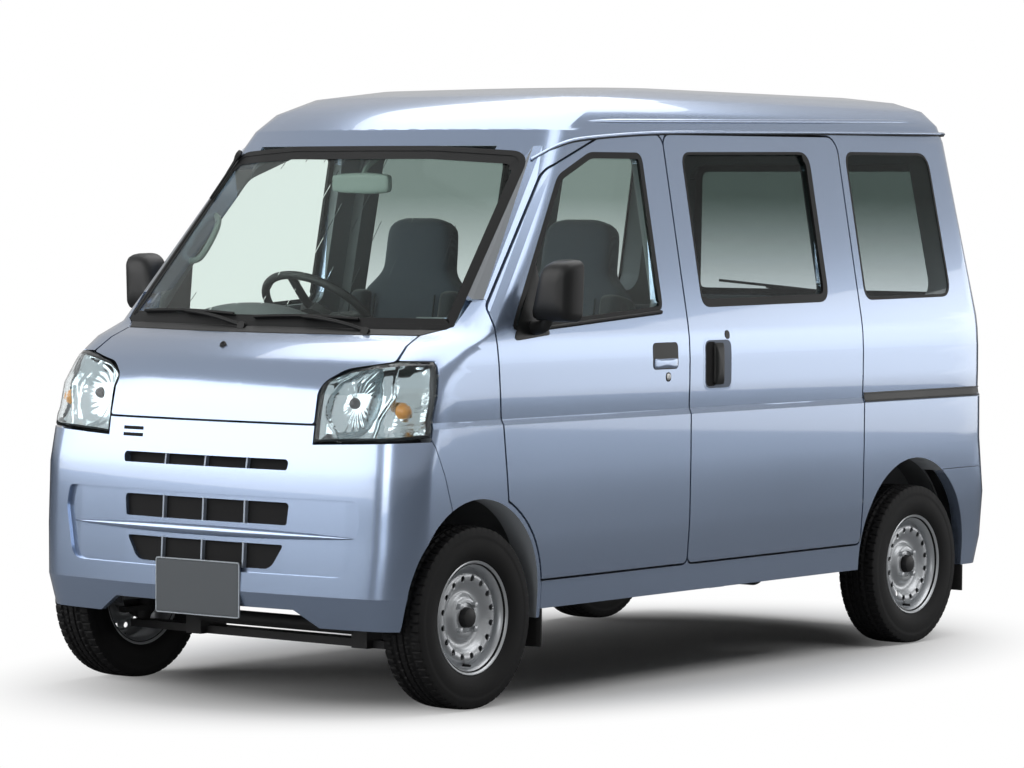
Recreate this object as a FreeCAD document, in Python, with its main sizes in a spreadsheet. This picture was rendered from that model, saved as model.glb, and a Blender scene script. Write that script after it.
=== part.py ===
import FreeCAD, Part
import math
import os
import Sketcher

# Kei cargo van. Front at -Y, left side at +X, up +Z, origin on the ground under the middle of the body.

Vector = FreeCAD.Vector
doc = FreeCAD.newDocument("kei_van")
sheet = doc.addObject("Spreadsheet::Sheet", "Sizes")

# Driving dimensions, in millimetres and degrees.
SIZES = {
    "body_length": 3395, "body_width": 1475,
    "front_overhang": 415, "wheelbase": 2450, "front_track": 1305, "rear_track": 1300,
    "tail_bow": 6000, "tail_corner": 110,
    "shut_gap": 7, "trim_gap": 3, "seat_gap": 0.3,
    "door_skin": 12, "door_wall": 45, "frame_back": 85, "door_lap": 34, "door_edge": 14,
    "roof_wall": 30, "rail_band": 60, "bumper_wall": 30, "tail_wall": 40, "lamp_depth": 80,
    "glass_thick": 4, "glass_set": 10, "screen_set": 2, "screen_thick": 5, "screen_flange": 25,
    "sill_top": 362, "sill_base": 276, "belt_line": 1160,
    "door_lead": 80, "b_seam": 1079, "c_seam": 2091, "door_head": 1712, "slider_head": 1722,
    "jack_inner": 660, "jack_wide": 40, "jack_drop": 4, "fender_top": 1205,
    "arch_height": 321, "arch_radius": 301, "arch_lip": 18, "rear_arch_radius": 333,
    "rear_arch_lead": 30, "rear_arch_height": 305, "housing_wall": 8, "housing_inner": 405,
    "housing_room": 28, "rear_housing_inner": 556, "rear_housing_base": 400,
    "lid_base": 841, "lid_half": 403, "lid_top": 1098, "lid_rear_lead": 38,
    "screen_base": 1124, "screen_top": 1660,
    "gate_base": 604, "gate_top": 1706, "gate_half": 610, "tail_half": 600,
    "floor_thick": 20, "cabin_floor": 440, "seat_box": 700, "load_floor": 640,
    "tyre_radius": 271, "tyre_wide": 145, "shoulder": 12, "bead_radius": 156, "rim_half": 57, "rim_wall": 6,
    "disc_thick": 5, "disc_face": 22, "ridge_face": 34, "ridge_inner": 98, "ridge_outer": 134,
    "hub_face": 30, "hub_wide": 60, "cap_face": 42, "cap_radius": 28, "sleeve_radius": 34, "sleeve_end": 30,
    "vent_count": 16, "vent_radius": 9, "vent_circle": 116,
    "spindle_radius": 18, "spindle_play": 0.05, "shield_radius": 84, "king_pin_tilt": 13, "king_pin_foot": 600,
    "king_pin_base": 190, "upright_radius": 26, "strut_radius": 20,
    "rail_wide": 60, "rail_deep": 90, "rail_half": 300,
    "axle_radius": 36, "drum_radius": 105, "diff_radius": 112,
    "wheel_rim_radius": 190, "wheel_grip": 14,
}

# Body levels: height, nose set-back, side inset, nose bow radius, corner radius, tail set-back.
LEVELS = {
    "skirt": (250, 27, 19.5, 4000, 140, 30),
    "apron": (345, 0, 13.5, 4000, 140, 2),
    "fender": (500, 8, 2.5, 4000, 140, 0),
    "waist": (690, 17, 0, 4000, 140, 30),
    "crease": (834, 37, 0, 3800, 160, 32),
    "shelf": (852, 39, 8.5, 3800, 160, 32),
    "lamp": (930, 53, 6.5, 3300, 160, 33),
    "lid": (1010, 105, 6.5, 2800, 160, 34),
    "cowl": (1070, 185, 9.5, 2400, 150, 35),
    "belt": (1115, 285, 15.5, 2000, 130, 36),
    "gutter": (1714, 803, 123.5, 1500, 110, 105),
    "brow": (1770, 878, 139, 1500, 160, 123),
    "crest": (1820, 1005, 187, 1500, 230, 148),
    "haunch": (1850, 1235, 270, 1500, 280, 205),
    "ridge": (1866, 1600, 385, 1500, 210, 350),
    "crown": (1875, 2015, 557.5, 1500, 130, 630),
}
COLUMNS = ("height", "nose", "side", "bow", "corner", "tail")


def fill_sheet():
    """Write every size to the sheet as a plain number with its alias."""
    rows = dict(SIZES)
    for level, values in LEVELS.items():
        for column, value in zip(COLUMNS, values):
            rows[level + "_" + column] = value
    for row, (name, value) in enumerate(rows.items(), start=1):
        sheet.set("A%d" % row, name)
        sheet.set("B%d" % row, str(value))
        sheet.setAlias("B%d" % row, name)
    doc.recompute()


fill_sheet()


def size(name):
    """The sheet's value of one named size."""
    return float(sheet.get(name))


body_length = size("body_length")
half_width = size("body_width") / 2
front_axle = -body_length / 2 + size("front_overhang")
rear_axle = front_axle + size("wheelbase")
shut_gap = size("shut_gap")
seat_gap = size("seat_gap")
trim_gap = size("trim_gap")
door_seat = size("door_wall") + seat_gap
BEYOND = 2 * body_length
sub_parts = []


def keep(label, shape):
    """Add a finished solid to the document as one named sub-part."""
    piece = doc.addObject("Part::Feature", label)
    piece.Label = label
    piece.Shape = shape
    piece.Placement = FreeCAD.Placement()
    sub_parts.append(piece)
    return piece


def mirrored(shape):
    """The same shape on the vehicle's other side."""
    return shape.mirror(Vector(0, 0, 0), Vector(1, 0, 0))


def pair(shape):
    """A shape and its mirror image, as one compound of two solids."""
    return Part.Compound([shape, mirrored(shape)])


# Outlines are drawn in a side, front or plan view, then pushed through the body.

VIEWS = {
    "side": lambda across, up, along: Vector(along, across, up),
    "front": lambda across, up, along: Vector(across, along, up),
    "plan": lambda across, up, along: Vector(across, up, along),
}


def outline(corners, view, along=0.0):
    """Closed wire through (across, up[, radius]) corners, each radius being a tangent arc."""
    place = VIEWS[view]
    count = len(corners)
    joints = []
    for index, corner in enumerate(corners):
        here = Vector(corner[0], corner[1], 0)
        radius = corner[2] if len(corner) > 2 else 0
        back = Vector(corners[index - 1][0], corners[index - 1][1], 0) - here
        ahead = Vector(corners[(index + 1) % count][0], corners[(index + 1) % count][1], 0) - here
        if not radius:
            joints.append((here, None, here))
            continue
        half = back.getAngle(ahead) / 2
        neighbours = (corners[index - 1], corners[(index + 1) % count])
        shares = [0.49 if len(other) > 2 and other[2] else 1 for other in neighbours]
        reach = min(radius / math.tan(half), shares[0] * back.Length, shares[1] * ahead.Length)
        radius = reach * math.tan(half)
        back.normalize()
        ahead.normalize()
        inward = (back + ahead).normalize()
        middle = here + inward * (radius / math.sin(half) - radius)
        joints.append((here + back * reach, middle, here + ahead * reach))
    edges = []
    for index, (start, middle, end) in enumerate(joints):
        if middle is not None:
            edges.append(Part.Arc(*[place(p.x, p.y, along) for p in (start, middle, end)]).toShape())
        following = joints[(index + 1) % count][0]
        if end.distanceToPoint(following) > 0.001:
            run = (place(end.x, end.y, along), place(following.x, following.y, along))
            edges.append(Part.LineSegment(*run).toShape())
    return Part.Wire(edges)


def grown(corners, gap):
    """The same outline with every side moved outward by a gap, or inward if it is negative."""
    count = len(corners)
    spots = [Vector(corner[0], corner[1], 0) for corner in corners]
    area = sum(spots[i - 1].x * spots[i].y - spots[i].x * spots[i - 1].y for i in range(count))
    way = math.copysign(1, area)
    moved = []
    for index, corner in enumerate(corners):
        before = (spots[index] - spots[index - 1]).normalize()
        after = (spots[(index + 1) % count] - spots[index]).normalize()
        first = Vector(before.y, -before.x, 0) * way
        second = Vector(after.y, -after.x, 0) * way
        spot = spots[index] + (first + second) * (gap / (1 + first.dot(second)))
        radius = corner[2] if len(corner) > 2 else 0
        if radius:
            radius = max(radius + math.copysign(gap, before.cross(after).z * way * gap), 0.1)
        moved.append((spot.x, spot.y, radius))
    return moved


def prism(corners, view, low, high, grow=0.0):
    """Solid made by pushing an outline from low to high, its outline first grown by a gap."""
    wire = outline(grown(corners, grow) if grow else corners, view, low)
    return Part.Face(wire).extrude(VIEWS[view](0, 0, high - low))


def sweep(across, up, radius, start, end):
    """An arc about a centre as three corners: its ends, and the spot where their tangents meet."""
    half = math.radians(end - start) / 2
    angles = [(math.radians(start), radius), (math.radians(start) + half, radius / math.cos(half)),
              (math.radians(end), radius)]
    spots = [(across + far * math.cos(angle), up + far * math.sin(angle)) for angle, far in angles]
    return [spots[0], spots[1] + (radius,), spots[2]]


def arch(across, up, radius):
    """A wheel arch: a half circle on straight legs that run down past the sill."""
    crown = sweep(across, up, radius, 180, 90) + sweep(across, up, radius, 90, 0)[1:]
    return [(across - radius, 100)] + crown + [(across + radius, 100)]


def from_axle(points):
    """Points given from the front axle, moved to the body's own frame."""
    return [(point[0] + front_axle,) + tuple(point[1:]) for point in points]


def both_sides(points):
    """An outline given for the left half, closed by its mirror image."""
    return list(points) + [(-point[0],) + tuple(point[1:]) for point in reversed(points)]


# The body's skin is a stack of level outlines with bowed ends and round corners.

NOSE_TURNS = (0, 3, 6, 9, 13, 19, 28, 42, 57, 73, 90)
TAIL_TURNS = (0, 3, 6, 14, 28, 44, 60, 75, 90)


def meeting(end_radius, side, corner, way):
    """Centre of a corner arc, from the end arc's own centre, that touches that arc and a straight side."""
    run = side - corner
    return Vector(run, way * math.sqrt((end_radius - corner) ** 2 - run ** 2), 0)


def tangents(end, end_radius, corner, side, way, turns, inset):
    """Lines (normal, distance) that touch an end arc and its corner arc, one for each turn in degrees."""
    centre = Vector(0, end - way * end_radius, 0)
    round_centre = centre + meeting(end_radius, side, corner, way)
    change = math.asin((side - corner) / (end_radius - corner))
    lines = []
    for turn in turns:
        angle = math.radians(turn)
        normal = Vector(math.sin(angle), way * math.cos(angle), 0)
        if angle <= change:
            reach = centre.dot(normal) + end_radius
        else:
            reach = round_centre.dot(normal) + corner
        lines.append((normal, reach - inset))
    return lines


def crossing(first, second):
    """The point where two lines given by normal and distance meet."""
    (one, reach), (two, far) = first, second
    turn = one.x * two.y - one.y * two.x
    return Vector((reach * two.y - far * one.y) / turn, (one.x * far - two.x * reach) / turn, 0)


def level_corners(level, inset, height):
    """Corners of one level's outline, set in from the skin; its sides keep their directions at all levels."""
    side = half_width - size(level + "_side")
    nose = -body_length / 2 + size(level + "_nose")
    tail = body_length / 2 - size(level + "_tail")
    lines = tangents(nose, size(level + "_bow"), size(level + "_corner"), side, -1, NOSE_TURNS, inset)
    rear = tangents(tail, size("tail_bow"), size("tail_corner"), side, 1, TAIL_TURNS[:-1], inset)
    lines += list(reversed(rear))
    half = [crossing(lines[index], lines[index + 1]) for index in range(len(lines) - 1)]
    whole = half + [Vector(-p.x, p.y, 0) for p in reversed(half)]
    return [Vector(p.x, p.y, height) for p in whole]


skins = {}


def skin(inset):
    """The space inside the body's outer skin, set in by inset all over and open below."""
    if inset not in skins:
        gutter = size("gutter_height")
        rise = size("crown_height") - gutter
        rings = []
        for name in LEVELS:
            height = size(name + "_height")
            if height > gutter:
                height = gutter + (height - gutter) * (rise - inset) / rise
            if name == "skirt" and inset:
                height -= size("frame_back")
            rings.append(level_corners(name, inset, height))
        faces = [Part.Face(Part.makePolygon(ring + ring[:1])) for ring in (rings[0], rings[-1])]
        for lower, upper in zip(rings, rings[1:]):
            for index in range(len(lower)):
                corners = [lower[index - 1], lower[index], upper[index], upper[index - 1], lower[index - 1]]
                faces.append(Part.Face(Part.makePolygon(corners)))
        solid = Part.Solid(Part.Shell(faces))
        if solid.Volume < 0:
            solid.reverse()
        skins[inset] = solid
    return skins[inset]


def shell(outer, inner, *within):
    """The wall between two insets, kept only inside the given prisms."""
    region = within[0]
    for more in within[1:]:
        region = region.common(more)
    return region.common(skin(outer)).cut(skin(inner))


def largest(shape):
    """The largest solid of a shape."""
    return sorted(shape.Solids, key=lambda solid: solid.Volume)[-1]


# Seams seen from the side, as distances behind the front axle.

sill_top, sill_base = size("sill_top"), size("sill_base")
door_lead, b_seam, c_seam = size("door_lead"), size("b_seam"), size("c_seam")
arch_height, arch_radius = size("arch_height"), size("arch_radius")
door_sweep = arch_radius + size("arch_lip")
DOOR_FRONT = [(door_lead, 1180, 50), (door_lead + 30, 840, 300)] + sweep(
    0, arch_height, door_sweep, 64, math.degrees(math.asin((sill_top - arch_height) / door_sweep)))
FRONT_DOOR = from_axle(DOOR_FRONT + [(b_seam, sill_top, 25), (b_seam, size("door_head"), 40),
                                     (760, size("door_head") - 10, 200), (440, 1590, 150)])
SLIDING_DOOR = from_axle([(b_seam, sill_top, 25), (c_seam, sill_top, 25), (c_seam, size("slider_head"), 60),
                          (b_seam, size("door_head"), 40)])
belt_line = size("belt_line")
FRONT_WINDOW = from_axle([(160, belt_line - 50, 20), (955, belt_line, 35), (955, 1651, 35),
                          (680, 1649, 120), (500, 1576, 100)])
SLIDER_WINDOW = from_axle([(b_seam + 92, belt_line + 6, 45), (c_seam - 180, belt_line + 14, 60),
                           (c_seam - 180, 1668, 60), (b_seam + 92, 1656, 45)])
QUARTER_WINDOW = from_axle([(c_seam + 40, belt_line + 16, 45), (c_seam + 595, belt_line + 22, 60),
                            (c_seam + 570, 1676, 70), (c_seam + 40, 1672, 45)])
FRONT_ARCH = from_axle(arch(0, arch_height, arch_radius))
REAR_ARCH = arch(rear_axle - size("rear_arch_lead"), size("rear_arch_height"), size("rear_arch_radius"))
ROOF_EDGE = from_axle([(-2000, 1664), (520, 1664, 60), (700, 1708, 300), (b_seam, 1718), (c_seam, 1734),
                       (2750, 1744), (4000, 1744)])
fender_top = size("fender_top")
FENDER_SEAM = from_axle([(-163, 1028), (-224, 806), (-169, 701), (-131, 600), (-131, 100)])
FENDER = from_axle([(-900, fender_top), (-900, 1028)]) + FENDER_SEAM + from_axle(
    [(door_sweep, 100), (door_sweep, sill_top + 40), (door_lead + 100, 700), (door_lead + 12, fender_top)])
NOSE_SIDE = from_axle([(-900, 100)]) + list(reversed(FENDER_SEAM)) + from_axle([(-163, 1300), (-900, 1300)])
LOW_TAIL = from_axle([(2600, 591), (4000, 591), (4000, 100), (2600, 100)])

# Seams seen from the front, left half first.

lid_half, lid_base, lid_top = size("lid_half"), size("lid_base"), size("lid_top")
screen_base, screen_top = size("screen_base"), size("screen_top")
LID = both_sides([(0, lid_base), (lid_half, lid_base, 12), (lid_half - 3, 960, 45), (lid_half + 55, 1000, 90),
                  (598, 1024, 10), (572, lid_top + 14)][1:])
LAMP = [(lid_half - 2, 786, 12), (lid_half - 3, 962, 45), (lid_half + 55, 1001, 90), (600, 1025), (900, 1034),
        (900, 806), (597, 794)]
SCREEN = both_sides([(638, screen_base, 20), (574, screen_top - 20, 60), (280, screen_top - 3, 900)])
COWL = both_sides([(576, lid_top - 20), (576, lid_top + 3), (640, screen_base)])
GATE = both_sides([(size("gate_half"), size("gate_base"), 25), (size("gate_half"), 1120, 80),
                   (548, size("gate_top"), 60)])
GATE_WINDOW = both_sides([(530, 1165, 50), (488, 1640, 60)])
TAIL_LAMP = [(634, 650, 8), (704, 650, 8), (704, 980, 8), (634, 980, 8)]
BUMPER = both_sides([(900, 100), (900, 806), (597, 791), (lid_half - 2, 783), (lid_half - 2, lid_base - 3)])

side_depth = (half_width * 0.35, half_width + 60)
nose_end, tail_end = -body_length / 2 - 50, body_length / 2 + 50
front_depth = (nose_end, front_axle + 470)
rear_depth = (rear_axle + 250, tail_end)
below_roof = prism(list(reversed(ROOF_EDGE)) + from_axle([(-2000, 0), (4000, 0)]), "side", -800, 800)
above_roof = prism(ROOF_EDGE + from_axle([(4000, 2500), (-2000, 2500)]), "side", -800, 800)


def behind_lid(lead):
    """The vertical prism behind the bonnet lid's rear edge, which follows the body's plan outline."""
    base = level_corners("belt", -size("lid_rear_lead") - lead, lid_base)
    return Part.Face(Part.makePolygon(base + base[:1])).extrude(Vector(0, 0, 600))


def side_prism(corners, grow=0.0, low=side_depth[0]):
    """An outline seen from the side, pushed through the left wall."""
    return prism(corners, "side", low, side_depth[1], grow)


def front_prism(corners, grow=0.0):
    """An outline seen from the front, pushed through the front end."""
    return prism(corners, "front", front_depth[0], front_depth[1], grow)


def rear_prism(corners, grow=0.0):
    """An outline seen from the rear, pushed through the tail."""
    return prism(corners, "front", rear_depth[0], rear_depth[1], grow)


front_arch = side_prism(FRONT_ARCH)
rear_arch = side_prism(REAR_ARCH)
tail_header = Part.makeBox(1120, 500, 62, Vector(-560, rear_axle + 250, size("gate_top") + shut_gap / 2))


def make_side_frame():
    """Left body side: pillars, sill, cant rail and rear quarter, with rebates that the doors shut into."""
    reach = prism(from_axle([(30, sill_base), (4000, sill_base), (4000, 1800), (30, 1800)]), "side", 470, 800)
    frame = reach.common(below_roof).common(skin(0)).cut(skin(size("frame_back")))
    rebate = skin(0).cut(skin(door_seat))
    tools = [rebate.common(side_prism(corners, shut_gap / 2)) for corners in (FRONT_DOOR, SLIDING_DOOR)]
    tools.append(rebate.common(side_prism(FENDER, seat_gap)))
    lap = -size("door_lap")
    tools += [side_prism(corners, lap, 0) for corners in (FRONT_DOOR, SLIDING_DOOR)]
    tools += [rebate.common(rear_prism(GATE, shut_gap / 2)), rear_prism(GATE, lap)]
    tools += [side_prism(QUARTER_WINDOW), front_arch, rear_arch, side_prism(LOW_TAIL, seat_gap, 0)]
    screen_seat = size("screen_set") + size("screen_thick") + seat_gap
    tools += [shell(-1, screen_seat, front_prism(SCREEN)), front_prism(SCREEN, -size("screen_flange"))]
    tools.append(rebate.common(rear_prism(TAIL_LAMP, seat_gap)))
    tools += [tail_header, front_prism(COWL, seat_gap)]
    tools.append(Part.makeBox(size("tail_half"), 400, 420, Vector(0, body_length / 2 - 300, sill_base)))
    frame = largest(frame.cut(tools))
    jack_wide, jack_drop = size("jack_wide"), size("jack_drop")
    pad_base = Vector(size("jack_inner"), -jack_wide, sill_base - jack_drop)
    return frame.fuse(Part.makeBox(jack_wide, 2 * jack_wide, 2 * jack_drop, pad_base))


def make_door(seam, window, glass_inset):
    """A door as deep as the wall: a full outer skin over a narrower inner box, with its window cut."""
    outer = shell(0, size("door_skin"), side_prism(seam, -shut_gap / 2))
    box = shell(size("door_skin") - 2, size("door_wall"), side_prism(seam, -shut_gap / 2 - size("door_edge")))
    door = outer.fuse(box).cut(side_prism(window))
    pane = shell(glass_inset, glass_inset + size("glass_thick"), side_prism(window, -seat_gap))
    return largest(door), largest(pane)


side_frame = make_side_frame()
keep("side_frame_left", side_frame)
keep("side_frame_right", mirrored(side_frame))

front_door, front_pane = make_door(FRONT_DOOR, FRONT_WINDOW, size("glass_set"))
keep("front_door_left", front_door)
keep("front_door_right", mirrored(front_door))
keep("front_door_glass_left", front_pane)
keep("front_door_glass_right", mirrored(front_pane))

sliding_door, sliding_pane = make_door(SLIDING_DOOR, SLIDER_WINDOW, size("glass_set"))
keep("sliding_door_left", sliding_door)
keep("sliding_door_right", mirrored(sliding_door))
quarter_pane = largest(shell(1, 1 + size("glass_thick"), side_prism(QUARTER_WINDOW, -seat_gap)))
keep("side_glass", Part.Compound([pair(sliding_pane), pair(quarter_pane)]))

# Roof: a thin raised panel with deeper rails along its edges and a header over each end.
roof = shell(0, size("roof_wall"), above_roof)
band = prism(list(reversed([(p[0], p[1] + size("rail_band")) for p in ROOF_EDGE])) + ROOF_EDGE,
             "side", -800, 800)
roof = roof.fuse(shell(0, size("frame_back"), band)).fuse(shell(0, door_seat, tail_header))
roof = roof.cut(Part.makeBox(BEYOND, BEYOND, 1, Vector(-BEYOND / 2, -BEYOND / 2, 100)))
roof = roof.cut([front_prism(SCREEN, seat_gap)])
keep("roof", largest(roof))

# Front fender: from the lamp and bumper to the door, round the wheel arch and up to the pillar's foot.
fender_front = [(603, 1028), (579, lid_top), (645, screen_base + 1), (655, fender_top), (900, fender_top),
                (900, 100), (300, 100), (300, 1000), (560, 1028)]
fender = shell(0, size("door_wall"), side_prism(FENDER, -trim_gap / 2), front_prism(fender_front))
fender = fender.cut([front_arch, side_prism(FRONT_DOOR, shut_gap / 2), front_prism(LID, shut_gap / 2)])
fender = largest(fender)
keep("front_fenders", pair(fender))

# Bumper: one moulding from the bonnet lid down, with its grille openings inside a shallow recess.
nose_region = prism(NOSE_SIDE, "side", -800, 800, -trim_gap / 2)
bumper = shell(0, size("bumper_wall"), front_prism(BUMPER), nose_region)
SLOT = both_sides([(320, 706, 8), (326, 738, 14)])
MID_GRILLE = both_sides([(316, 545, 8), (323, 611, 12)])
LOW_GRILLE = both_sides([(262, 414, 45), (308, 487, 6)])
RECESS = both_sides([(540, 402, 50), (578, 560, 60), (566, 626, 20)])
UNDERCUT = both_sides([(440, 100), (440, 245), (350, 300)])
bumper = bumper.cut(shell(-1, 14, front_prism(RECESS)))
bumper = bumper.cut([front_prism(corners) for corners in (SLOT, MID_GRILLE, LOW_GRILLE, UNDERCUT)])
for arch in (front_arch, mirrored(front_arch)):
    bumper = bumper.cut(arch)
keep("front_bumper", largest(bumper))

grille = shell(16, 24, front_prism(SLOT, -seat_gap))
bars = []
for corners, first, pitch in ((MID_GRILLE, 560, 17), (LOW_GRILLE, 330, 24)):
    strips = [Part.makeBox(1400, 600, 6, Vector(-700, nose_end, first + pitch * step)) for step in range(7)]
    posts = [Part.makeBox(10, 600, 400, Vector(place - 5, nose_end, 200))
             for place in (-318, -106, 0, 106, 318)]
    lattice = strips[0].fuse(strips[1:] + posts)
    bars.append(shell(16, 26, front_prism(corners, -seat_gap)).common(lattice))
keep("grille", Part.Compound(grille.Solids + [solid for bar in bars for solid in bar.Solids]))

# Headlamp: a deep housing under one clear lens that wraps the corner.
lamp = shell(0, size("lamp_depth"), front_prism(LAMP, -trim_gap / 2), side_prism(NOSE_SIDE, -trim_gap / 2, 0))
keep("headlamps", pair(largest(lamp)))

lid = shell(0, size("bumper_wall"), front_prism(LID, -shut_gap / 2)).cut(behind_lid(shut_gap / 2))
keep("bonnet_lid", largest(lid))

cowl = shell(0, size("bumper_wall"), front_prism(COWL, -seat_gap / 2)).common(behind_lid(-shut_gap / 2))
keep("cowl", largest(cowl))

screen = shell(size("screen_set"), size("screen_set") + size("screen_thick"), front_prism(SCREEN, -seat_gap))
keep("windshield", largest(screen))

# Tailgate: built like the doors, hung from the roof's rear header.
gate = shell(0, size("door_skin"), rear_prism(GATE, -shut_gap / 2))
gate_box = rear_prism(GATE, -shut_gap / 2 - size("door_edge"))
gate = gate.fuse(shell(size("door_skin") - 2, size("door_wall"), gate_box))
gate = gate.cut(rear_prism(GATE_WINDOW))
keep("tailgate", largest(gate))
gate_pane = shell(2, 2 + size("glass_thick"), rear_prism(GATE_WINDOW, -seat_gap))
keep("tailgate_glass", largest(gate_pane))

tail_lamp = shell(0, 40, rear_prism(TAIL_LAMP))
keep("tail_lamps", pair(largest(tail_lamp)))

tail_bumper = shell(0, size("tail_wall"), prism(LOW_TAIL, "side", -800, 800, -trim_gap / 2))
for arch in (rear_arch, mirrored(rear_arch)):
    tail_bumper = tail_bumper.cut(arch)
keep("rear_bumper", largest(tail_bumper))


def ribbon(points, thick, low, high):
    """A folded sheet of even thickness below a line of side-view points, from low to high across."""
    under = []
    for index, (across, up) in enumerate(points):
        before = points[max(index - 1, 0)]
        after = points[min(index + 1, len(points) - 1)]
        ways = []
        for first, second in ((before, (across, up)), ((across, up), after)):
            run, rise = second[0] - first[0], second[1] - first[1]
            length = math.hypot(run, rise)
            if length:
                ways.append((rise / length, -run / length))
        normal = (sum(way[0] for way in ways), sum(way[1] for way in ways))
        scale = 2 * thick / (normal[0] ** 2 + normal[1] ** 2) if len(ways) == 2 else thick
        under.append((across + normal[0] * scale, up + normal[1] * scale))
    return prism(list(points) + list(reversed(under)), "side", low, high)


# Floor: toe board, cabin floor, seat box and load floor in one folded sheet, with the wheel housings.
cabin_floor, seat_box, load_floor = size("cabin_floor"), size("seat_box"), size("load_floor")
floor_path = from_axle([(-235, 1040), (-235, 600), (-60, cabin_floor), (500, cabin_floor), (530, seat_box),
                        (1190, seat_box), (1225, load_floor), (4000, load_floor)])
floor = ribbon(floor_path, size("floor_thick"), -700, 700)
housing_wall = size("housing_wall")
wells = []
housings = []
for corners, inner_wall, base in ((grown(FRONT_ARCH, size("housing_room")), size("housing_inner"), sill_base),
                                  (REAR_ARCH, size("rear_housing_inner"), size("rear_housing_base"))):
    well = prism(corners, "side", inner_wall, 800)
    wells += [well, mirrored(well)]
    housing = prism(corners, "side", inner_wall - housing_wall, 800, housing_wall).cut(well)
    housing = housing.common(Part.makeBox(BEYOND, BEYOND, 1000, Vector(0, -BEYOND / 2, base)))
    housings += [housing, mirrored(housing)]
tail_half = size("tail_half")
low_panel = shell(size("tail_wall") + seat_gap, door_seat + 15,
                  Part.makeBox(2 * tail_half, 400, 288, Vector(-tail_half, body_length / 2 - 300, 300)))
high_corner = Vector(-tail_half, body_length / 2 - 300, load_floor - 60)
high_panel = shell(door_seat, door_seat + 15, Part.makeBox(2 * tail_half, 400, 60, high_corner))
shelf = Part.makeBox(2 * tail_half, 200, size("floor_thick"),
                     Vector(-tail_half, body_length / 2 - 200, load_floor - size("floor_thick")))
shelf = shelf.common(skin(door_seat))
nose_pieces = [(-550, 550, 60, 625, 735), (-400, -340, 170, 540, 780), (340, 400, 170, 540, 780),
               (-600, -400, 170, 740, 940), (400, 600, 170, 740, 940), (-60, 60, 110, 700, 900)]
nose_frame = [Part.makeBox(right - left, deep, high - low, Vector(left, front_axle - 415, low))
              for left, right, deep, low, high in nose_pieces]
nose_frame = nose_frame[0].multiFuse(nose_frame[1:])
lamp_room = Part.makeBox(1200, 400, 300, Vector(-600, front_axle - 450, 735))
low_room = Part.makeBox(1200, 400, 235, Vector(-600, front_axle - 450, 500)).fuse(
    Part.makeBox(2 * lid_half - 40, 400, 300, Vector(20 - lid_half, front_axle - 450, 700)))
lamp_room = skin(size("lamp_depth") + seat_gap).common(lamp_room)
low_room = skin(size("bumper_wall") + seat_gap).common(low_room)
nose_frame = nose_frame.common(lamp_room.fuse(low_room))
floor = floor.fuse(housings).cut(wells)
floor = floor.common(skin(size("frame_back") + seat_gap))
floor = floor.fuse([low_panel, high_panel, shelf, nose_frame])
keep("floor_pan", largest(floor))


# Pieces made from one sketch on a plane of their own body.

def new_body(label):
    """A body for one sub-part."""
    body = doc.addObject("PartDesign::Body", label)
    body.Label = label
    sub_parts.append(body)
    return body


def sketch_on(body, role, name, corners):
    """Closed sketch of straight lines on an origin plane, each corner bound to expressions of the sheet."""
    sketch = body.newObject("Sketcher::SketchObject", name)
    plane = [item for item in body.Origin.OriginFeatures if item.Role == role][0]
    sketch.AttachmentSupport = (plane, "")
    sketch.MapMode = "FlatFace"
    draw_loop(sketch, corners)
    return sketch


def draw_loop(sketch, corners):
    """Add one closed loop; a corner is a pair of expressions in sheet sizes."""
    values = [Vector(value_of(across), value_of(up), 0) for across, up in corners]
    first = sketch.GeometryCount
    count = len(values)
    for index in range(count):
        sketch.addGeometry(Part.LineSegment(values[index], values[(index + 1) % count]))
    for index in range(count):
        following = first + (index + 1) % count
        sketch.addConstraint(Sketcher.Constraint("Coincident", first + index, 2, following, 1))
    for index, corner in enumerate(corners):
        spot = (values[index].x, values[index].y)
        for kind, text, value in zip(("DistanceX", "DistanceY"), corner, spot):
            place = sketch.addConstraint(Sketcher.Constraint(kind, -1, 1, first + index, 1, value))
            sketch.setExpression("Constraints[%d]" % place, in_sheet(text))


def in_sheet(text):
    """An expression with each size read from the sheet."""
    marks = "".join(mark if mark.isalnum() or mark == "_" else " " + mark + " " for mark in str(text))
    words = ["Sizes." + word if word[0].isalpha() else word for word in marks.split()]
    return "(" + "".join(words) + ") * 1 mm"


probe = doc.addObject("Part::Vertex", "probe")


def value_of(text):
    """The present value of an expression."""
    probe.setExpression("X", in_sheet(text))
    doc.recompute([probe])
    return probe.X.Value


def revolved(label, corners, axis="H_Axis"):
    """A body turned from one sketch in its XZ plane about the wheel's axle line."""
    body = new_body(label)
    sketch = sketch_on(body, "XZ_Plane", label + "_section", corners)
    turn = body.newObject("PartDesign::Revolution", label + "_turn")
    turn.Profile = sketch
    turn.ReferenceAxis = (sketch, [axis])
    turn.Angle = 360
    return body


def move(piece, along_x, along_y, along_z, turn=0, about=Vector(0, 0, 1)):
    """Place a piece by three expressions and turn it about an axis through its own origin."""
    piece.Placement = FreeCAD.Placement(Vector(0, 0, 0), FreeCAD.Rotation(about, turn))
    for axis, text in zip("xyz", (along_x, along_y, along_z)):
        piece.setExpression("Placement.Base." + axis, in_sheet(text))


def primitive(kind, name, place, turn=0, about=Vector(0, 0, 1), **lengths):
    """A Part primitive with its lengths and its place bound to the sheet."""
    piece = doc.addObject("Part::" + kind, name)
    for key, text in lengths.items():
        piece.setExpression(key, in_sheet(text))
    move(piece, *place, turn, about)
    return piece


def box(name, low, high):
    """A box between two corners given as expressions."""
    sides = ["(%s) - (%s)" % (above, below) for below, above in zip(low, high)]
    return primitive("Box", name, low, Length=sides[0], Width=sides[1], Height=sides[2])


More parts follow.
